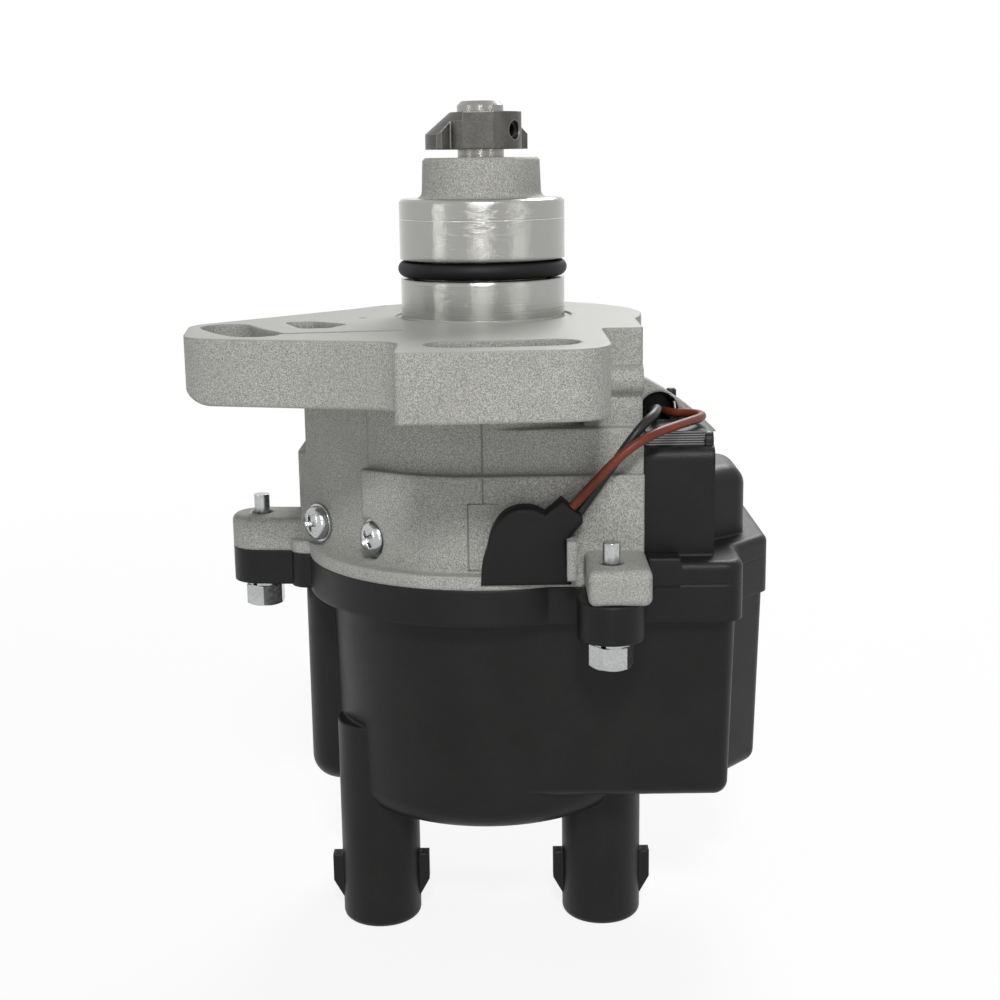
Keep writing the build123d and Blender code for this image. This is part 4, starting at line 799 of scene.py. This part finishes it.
def grown_piece(name, recipe, points, edges=(), replaced=None):
    """A piece that a recipe grows on these points."""
    seed = bpy.data.meshes.new(name + "_points")
    seed.from_pydata(points, edges, [])
    holder = bpy.data.objects.new(name + "_points", seed)
    bpy.context.scene.collection.objects.link(holder)
    growth = holder.modifiers.new("growth", "NODES")
    growth.node_group = recipe.tree
    for identifier, value in recipe.sizes.items():
        growth[identifier] = value
    mesh = evaluated(holder)
    holder.modifiers.remove(growth)
    bpy.data.objects.remove(holder)
    if not mesh.polygons:
        raise RuntimeError(name + " has no faces")
    shape = bmesh.new()
    shape.from_mesh(mesh)
    bmesh.ops.remove_doubles(shape, verts=shape.verts, dist=WELD)
    bmesh.ops.recalc_face_normals(shape, faces=shape.faces)
    shape.to_mesh(mesh)
    shape.free()
    return add_object(name, mesh, recipe.slot, replaced)


# Operators
class DISTRIBUTOR_OT_stage(bpy.types.Operator):
    """Floor, backdrop, lamps and camera"""

    bl_idname = "distributor.stage"
    bl_label = "Stage"

    def execute(self, context):
        scene = context.scene
        studio = scene.distributor_studio
        mesh = bpy.data.meshes.new("floor")
        signs = ((-1, -1), (1, -1), (1, 1), (-1, 1))
        corners = [(x * FLOOR_REACH, y * FLOOR_REACH, FLOOR_Z) for x, y in signs]
        mesh.from_pydata(corners, [], [(0, 1, 2, 3)])
        floor = bpy.data.objects.new("floor", mesh)
        scene.collection.objects.link(floor)
        mesh.materials.append(self.backdrop())
        self.world(scene)
        for name, place, size, power in LAMPS:
            data = bpy.data.lights.new(name, "AREA")
            data.shape = "RECTANGLE"
            data.size, data.size_y = size
            data.energy = power
            lamp = bpy.data.objects.new(name, data)
            lamp.location = place
            aim = Vector(LAMP_TARGET) - Vector(place)
            lamp.rotation_euler = aim.to_track_quat("-Z", "Y").to_euler()
            scene.collection.objects.link(lamp)
        data = bpy.data.cameras.new("camera")
        data.sensor_width = SENSOR_WIDTH
        data.lens = studio.focal_px * SENSOR_WIDTH / PICTURE_WIDTH
        data.clip_start = 0.01
        camera = bpy.data.objects.new("camera", data)
        camera.location = studio.place
        aim = Euler((math.radians(90) - studio.pitch, 0, 0)).to_matrix()
        camera.rotation_euler = (aim @ Matrix.Rotation(studio.roll, 3, "Z")).to_euler()
        scene.collection.objects.link(camera)
        scene.camera = camera
        scene.view_settings.view_transform = "Standard"
        return {"FINISHED"}

    def backdrop(self):
        """A floor that the camera sees as white, with the object's shadow on it."""
        s = Shader("floor")
        seen = s.node("ShaderNodeLightPath", {}, {})
        grain = s.noise(30, 2.0)
        s.finish(Base_Color=s.mix(grain, (0.80, 0.80, 0.80), (0.84, 0.84, 0.84)), Roughness=0.6)
        glow = s.node("ShaderNodeEmission", {}, {"Color": (1.0, 1.0, 1.0), "Strength": 1.0})
        share = s.node("ShaderNodeMixShader", {}, {})
        s.plug(share.inputs[0], straight_ray(s, seen) * (0.86 + s.ramp(s.radius(), 0.12, 0.6) * 0.14))
        s.tree.links.new(s.surface.outputs[0], share.inputs[1])
        s.tree.links.new(glow.outputs[0], share.inputs[2])
        s.tree.links.new(share.outputs[0], s.out.inputs[0])
        return s.material

    def world(self, scene):
        """Soft light all round, white where the camera or a mirror looks at it."""
        world = bpy.data.worlds.new("studio")
        world.use_nodes = True
        s = Shader.over(world.node_tree)
        seen = s.node("ShaderNodeLightPath", {}, {})
        soft, white = (
            s.node("ShaderNodeBackground", {}, {"Color": (1.0, 1.0, 1.0), "Strength": strength}).outputs[0]
            for strength in (scene.distributor_studio.ambient, 1.0)
        )
        mix = s.node("ShaderNodeMixShader", {}, {0: straight_ray(s, seen), 1: soft, 2: white})
        s.node("ShaderNodeOutputWorld", {}, {0: mix.outputs[0]})
        scene.world = world


class DISTRIBUTOR_OT_finish_solids(bpy.types.Operator):
    """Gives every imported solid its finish"""

    bl_idname = "distributor.finish_solids"
    bl_label = "Finish the solids"

    def execute(self, context):
        for part in frame["record"]["subparts"]:
            solid = frame["nodes"][part["node"]]
            solid.data.materials.clear()
            solid.data.materials.append(finish_of(part["material_slot"]))
        return {"FINISHED"}


class DISTRIBUTOR_OT_leads(bpy.types.Operator):
    """The brown and the black lead from the boot into the arch"""

    bl_idname = "distributor.leads"
    bl_label = "Leads"

    def execute(self, context):
        for name, route, slot, run_length in LEADS:
            curve = bpy.data.curves.new(name + "_sleeve", "CURVE")
            curve.dimensions = "3D"
            curve.bevel_depth = LEAD_R
            curve.bevel_resolution = 5
            curve.use_fill_caps = True
            run = curve.splines.new("NURBS")
            run.points.add(len(route) - 1)
            for point, place in zip(run.points, route):
                point.co = (*place, 1.0)
            run.order_u = 3
            run.use_endpoint_u = True
            run.resolution_u = 16
            curve.materials.append(finish_of(slot))
            sleeve = bpy.data.objects.new(name + "_sleeve", curve)
            context.scene.collection.objects.link(sleeve)
            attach(sleeve, "distributor_body")
            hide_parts(name)
        return {"FINISHED"}


class DISTRIBUTOR_OT_boot(bpy.types.Operator):
    """Soft rubber boot over the ends of the leads"""

    bl_idname = "distributor.boot"
    bl_label = "Boot"

    def execute(self, context):
        wall = tree_of("housing")
        front = BOOT_FRONT
        mesh = bmesh.new()
        face = [mesh.verts.new((x * MM, front, z * MM)) for x, z in smooth_outline(BOOT_OUTLINE, BOOT_SOFT)]
        back = []
        for corner in face:
            hit = wall.ray_cast(Vector((corner.co.x, front - BOOT_START, corner.co.z)), Vector((0, 1, 0)))[0]
            depth = max(hit.y if hit else front, front + BOOT_LEAST)
            back.append(mesh.verts.new((corner.co.x, depth, corner.co.z)))
        mesh.faces.new(face)
        mesh.faces.new(back[::-1])
        for at in range(len(face)):
            onward = (at + 1) % len(face)
            mesh.faces.new((face[onward], face[at], back[at], back[onward]))
        bmesh.ops.recalc_face_normals(mesh, faces=mesh.faces)
        rim = [edge for edge in mesh.edges if all(corner in face for corner in edge.verts)]
        bmesh.ops.bevel(
            mesh, geom=rim, offset=BOOT_EDGE, offset_type="OFFSET", segments=5, profile=0.5, affect="EDGES"
        )
        add_piece("boot_cover", mesh, "black_rubber", replaced="lead_boot")
        return {"FINISHED"}


class DISTRIBUTOR_OT_core_sheets(bpy.types.Operator):
    """Iron sheets of the coil's core, each a little out of line"""

    bl_idname = "distributor.core_sheets"
    bl_label = "Core sheets"

    def execute(self, context):
        look = context.scene.distributor_look
        recipe = Recipe("core_sheets", "laminated_iron")
        sheets = recipe.value("Sheets", "NodeSocketInt", look.core_sheets)
        thick = recipe.value("Thickness", "NodeSocketFloat", look.sheet_thickness)
        long = recipe.value("Length", "NodeSocketFloat", CORE_BOX[1] - CORE_BOX[0])
        width = recipe.value("Width", "NodeSocketFloat", CORE_BOX[3] - CORE_BOX[2])
        seed = recipe.value("Seed", "NodeSocketInt", 7)
        outline = recipe.node("GeometryNodeCurvePrimitiveQuadrilateral", {}, {"Width": long, "Height": width})
        corners = {"Curve": outline.outputs[0], "Count": 4, "Radius": SHEET_CORNER}
        rounded = recipe.node("GeometryNodeFilletCurve", {"mode": "POLY"}, corners)
        sheet = recipe.node("GeometryNodeFillCurve", {}, {"Curve": rounded.outputs[0]})
        lift = {"Mesh": sheet.outputs[0], "Offset Scale": thick, "Individual": False}
        raised = recipe.node("GeometryNodeExtrudeMesh", {}, lift)
        under = recipe.node("GeometryNodeFlipFaces", {}, {"Mesh": sheet.outputs[0]})
        whole = recipe.joined(raised.outputs[0], under.outputs[0])
        closed = recipe.node("GeometryNodeMergeByDistance", {}, {"Geometry": whole, "Distance": 1e-6})
        pitch = (CORE_TOP - CORE_FOOT) / look.core_sheets
        line = recipe.node("GeometryNodeMeshLine", {}, {"Count": sheets, "Offset": (0.0, 0.0, pitch)})
        middle = ((CORE_BOX[0] + CORE_BOX[1]) / 2, (CORE_BOX[2] + CORE_BOX[3]) / 2, CORE_FOOT)
        line.inputs["Start Location"].default_value = middle
        astray = recipe.node("FunctionNodeRandomValue", {"data_type": "FLOAT_VECTOR"}, {"Seed": seed})
        astray.inputs[0].default_value = -SHEET_STRAY
        astray.inputs[1].default_value = SHEET_STRAY
        shifted = {"Geometry": line.outputs[0], "Offset": astray.outputs[0]}
        places = recipe.node("GeometryNodeSetPosition", {}, shifted)
        copies = {"Points": places.outputs[0], "Instance": closed.outputs[0]}
        stack = recipe.node("GeometryNodeInstanceOnPoints", {}, copies)
        recipe.end(stack.outputs[0])
        grown_piece("core_sheets", recipe, [])
        return {"FINISHED"}


class DISTRIBUTOR_OT_washers(bpy.types.Operator):
    """A flat washer and a split spring ring under each of the cap's bolts"""

    bl_idname = "distributor.washers"
    bl_label = "Bolt washers"

    def execute(self, context):
        look = context.scene.distributor_look
        recipe = Recipe("bolt_washers", "zinc_plated_steel")
        outer = recipe.value("Outer radius", "NodeSocketFloat", look.washer_radius)
        bore = recipe.value("Bore radius", "NodeSocketFloat", WASHER_BORE)
        flat = recipe.value("Flat washer", "NodeSocketFloat", FLAT_WASHER)
        spring = recipe.value("Spring ring", "NodeSocketFloat", SPRING_RING)
        width = recipe.maths("SUBTRACT", outer, bore)
        middle = recipe.maths("MULTIPLY", recipe.maths("ADD", outer, bore), 0.5)
        values = {"Resolution": ROUND_STEPS, "Radius": middle}
        circle = recipe.node("GeometryNodeCurvePrimitiveCircle", {}, values)
        flat_part = recipe.swept(circle.outputs[0], width, flat)
        flat_part = recipe.moved(flat_part, recipe.maths("MULTIPLY", flat, -0.5))
        reach = recipe.maths("SUBTRACT", middle, RING_INSET)
        opening = {"Start Angle": RING_START, "Sweep Angle": RING_SWEEP}
        values = {"Resolution": ROUND_STEPS, "Radius": reach, **opening}
        arc = recipe.node("GeometryNodeCurveArc", {}, values)
        along = recipe.node("GeometryNodeSplineParameter", {}, {}).outputs["Factor"]
        climb = recipe.maths("MULTIPLY", recipe.maths("SUBTRACT", along, 0.5), RING_CLIMB)
        lifted = recipe.moved(arc.outputs[0], climb)
        spring_part = recipe.swept(lifted, recipe.maths("SUBTRACT", width, RING_TRIM), spring)
        depth = recipe.maths("ADD", flat, recipe.maths("MULTIPLY", spring, 0.5))
        spring_part = recipe.moved(spring_part, recipe.maths("MULTIPLY", depth, -1.0))
        pair = recipe.joined(flat_part, spring_part)
        placed = recipe.node("GeometryNodeInstanceOnPoints", {}, {"Points": recipe.start, "Instance": pair})
        recipe.end(placed.outputs[0])
        seats = [(x, y, WASHER_SEAT) for x, y in BOLT_PLACES]
        grown_piece("bolt_washers", recipe, seats, replaced="cap_bolt_washers")
        return {"FINISHED"}


class DISTRIBUTOR_OT_side_screws(bpy.types.Operator):
    """Two pan head screws with cross recesses in the housing's side"""

    bl_idname = "distributor.side_screws"
    bl_label = "Side screws"

    def execute(self, context):
        mesh = bmesh.new()
        for place, turn in zip(SCREW_PLACES, SCREW_TURNS):
            head = lathed([(r * MM, h * MM) for r, h in SCREW_PROFILE], 64)
            cut = cross_recess(RECESS_TOP, RECESS_DEPTH, RECESS_HALF_ARM, RECESS_REACH)
            shaped = boolean(head, cut, "DIFFERENCE")
            seat = PAD_OUT * SCREW_SEAT + PAD_ALONG * place + Vector((0, 0, SCREW_Z))
            upright = PAD_OUT.cross(PAD_ALONG)
            frame_of = Matrix((PAD_ALONG, upright, PAD_OUT)).transposed().to_4x4()
            turned = Matrix.Rotation(math.radians(turn), 4, "Z")
            shaped.transform(Matrix.Translation(seat) @ frame_of @ turned)
            mesh.from_mesh(shaped)
            bpy.data.meshes.remove(shaped)
        bmesh.ops.recalc_face_normals(mesh, faces=mesh.faces)
        add_piece("side_screws", mesh, "zinc_plated_steel", replaced="igniter_screws")
        return {"FINISHED"}


class DISTRIBUTOR_OT_brush_spring(bpy.types.Operator):
    """Coil spring behind the carbon brush"""

    bl_idname = "distributor.brush_spring"
    bl_label = "Brush spring"

    def execute(self, context):
        look = context.scene.distributor_look
        low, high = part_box("brush_spring")
        wire = look.spring_wire
        recipe = Recipe("brush_spring", "bearing_steel")
        turns = recipe.value("Turns", "NodeSocketFloat", float(look.spring_turns))
        radius = recipe.value("Radius", "NodeSocketFloat", (high[0] - low[0]) / 2 - wire)
        height = recipe.value("Height", "NodeSocketFloat", high[2] - low[2] - 2 * wire)
        thick = recipe.value("Wire radius", "NodeSocketFloat", wire)
        path = recipe.node(
            "GeometryNodeCurveSpiral",
            {},
            {
                "Resolution": 32,
                "Rotations": turns,
                "Start Radius": radius,
                "End Radius": radius,
                "Height": height,
            },
        )
        section = recipe.node("GeometryNodeCurvePrimitiveCircle", {}, {"Resolution": 10, "Radius": thick})
        coil = recipe.skinned(path.outputs[0], section)
        recipe.end(recipe.moved(coil, low[2] + wire))
        spring = grown_piece("coil_spring", recipe, [], replaced="brush_spring")
        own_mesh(spring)
        return {"FINISHED"}


class DISTRIBUTOR_OT_casting_lines(bpy.types.Operator):
    """Raised frame of the bare label place and the mould's seam on the wall"""

    bl_idname = "distributor.casting_lines"
    bl_label = "Casting lines"

    def execute(self, context):
        left, right, top, bottom = LABEL_FRAME
        lines = [
            on_wall(BAND_R, [(right, top), (left, top), (left, bottom), (right, bottom)]),
            on_wall(BAND_R, [(SEAM_X, BAND_SEAM_TOP), (SEAM_X, top)]),
            on_wall(WALL_R, [(SEAM_X, z) for z in WALL_SEAM]),
        ]
        recipe = Recipe("casting_lines", "cast_aluminium")
        width = recipe.value("Ridge radius", "NodeSocketFloat", context.scene.distributor_look.ridge_radius)
        paths = recipe.node("GeometryNodeMeshToCurve", {}, {"Mesh": recipe.start})
        ring = recipe.node("GeometryNodeCurvePrimitiveCircle", {}, {"Resolution": 8, "Radius": width})
        recipe.end(recipe.skinned(paths.outputs[0], ring))
        points = [point for line in lines for point in line]
        edges, start = [], 0
        for line in lines:
            edges += [(at, at + 1) for at in range(start, start + len(line) - 1)]
            start += len(line)
        grown_piece("casting_lines", recipe, points, edges)
        return {"FINISHED"}


class DISTRIBUTOR_OT_roof_stud(bpy.types.Operator):
    """Small dark stud behind the roof's front edge, beside the leads' arch"""

    bl_idname = "distributor.roof_stud"
    bl_label = "Roof stud"

    def execute(self, context):
        mesh = bmesh.new()
        low, high = (Vector(corner) for corner in STUD_BOX)
        bmesh.ops.create_cube(mesh, size=1.0)
        for corner in mesh.verts:
            corner.co = Vector(a + (b - a) * (c + 0.5) for a, b, c in zip(low, high, corner.co))
        bmesh.ops.bevel(
            mesh,
            geom=mesh.edges[:],
            offset=STUD_EDGE,
            offset_type="OFFSET",
            segments=4,
            profile=0.5,
            affect="EDGES",
        )
        add_piece("roof_stud", mesh, "black_plastic")
        return {"FINISHED"}


class DISTRIBUTOR_OT_shade_plug(bpy.types.Operator):
    """Black rubber plug shaped as the grommet that the leads pass, put in the arch as painted shade to darken
    its inside
    """

    bl_idname = "distributor.grommet"
    bl_label = "Shade plug"

    def execute(self, context):
        turned = lathed([(r * MM, h * MM) for r, h in SHADE_PLUG_PROFILE], 48)
        shape = bmesh.new()
        shape.from_mesh(turned)
        bpy.data.meshes.remove(turned)
        shape.transform(Matrix.Translation(SHADE_PLUG_PLACE) @ Matrix.Rotation(math.radians(90), 4, "X"))
        add_piece("arch_shade_plug", shape, "black_rubber")
        return {"FINISHED"}


class DISTRIBUTOR_PT_panel(bpy.types.Panel):
    """Sidebar panel with the steps of the look"""

    bl_idname = "DISTRIBUTOR_PT_panel"
    bl_label = "Distributor"
    bl_space_type = "VIEW_3D"
    bl_region_type = "UI"
    bl_category = "Distributor"

    def draw(self, context):
        for step in STEPS:
            self.layout.operator(step.bl_idname)


STEPS = (
    DISTRIBUTOR_OT_stage,
    DISTRIBUTOR_OT_leads,
    DISTRIBUTOR_OT_finish_solids,
    DISTRIBUTOR_OT_boot,
    DISTRIBUTOR_OT_core_sheets,
    DISTRIBUTOR_OT_washers,
    DISTRIBUTOR_OT_side_screws,
    DISTRIBUTOR_OT_brush_spring,
    DISTRIBUTOR_OT_casting_lines,
    DISTRIBUTOR_OT_roof_stud,
    DISTRIBUTOR_OT_shade_plug,
)
CLASSES = (DistributorLook, StudioSettings, *STEPS, DISTRIBUTOR_PT_panel)


def register():
    for each in CLASSES:
        bpy.utils.register_class(each)
    bpy.types.Scene.distributor_look = bpy.props.PointerProperty(type=DistributorLook)
    bpy.types.Scene.distributor_studio = bpy.props.PointerProperty(type=StudioSettings)


def unregister():
    del bpy.types.Scene.distributor_look
    del bpy.types.Scene.distributor_studio
    for each in reversed(CLASSES):
        bpy.utils.unregister_class(each)


def main():
    register()
    for step in STEPS:
        group, name = step.bl_idname.split(".")
        getattr(getattr(bpy.ops, group), name)()


if __name__ == "__main__":
    main()
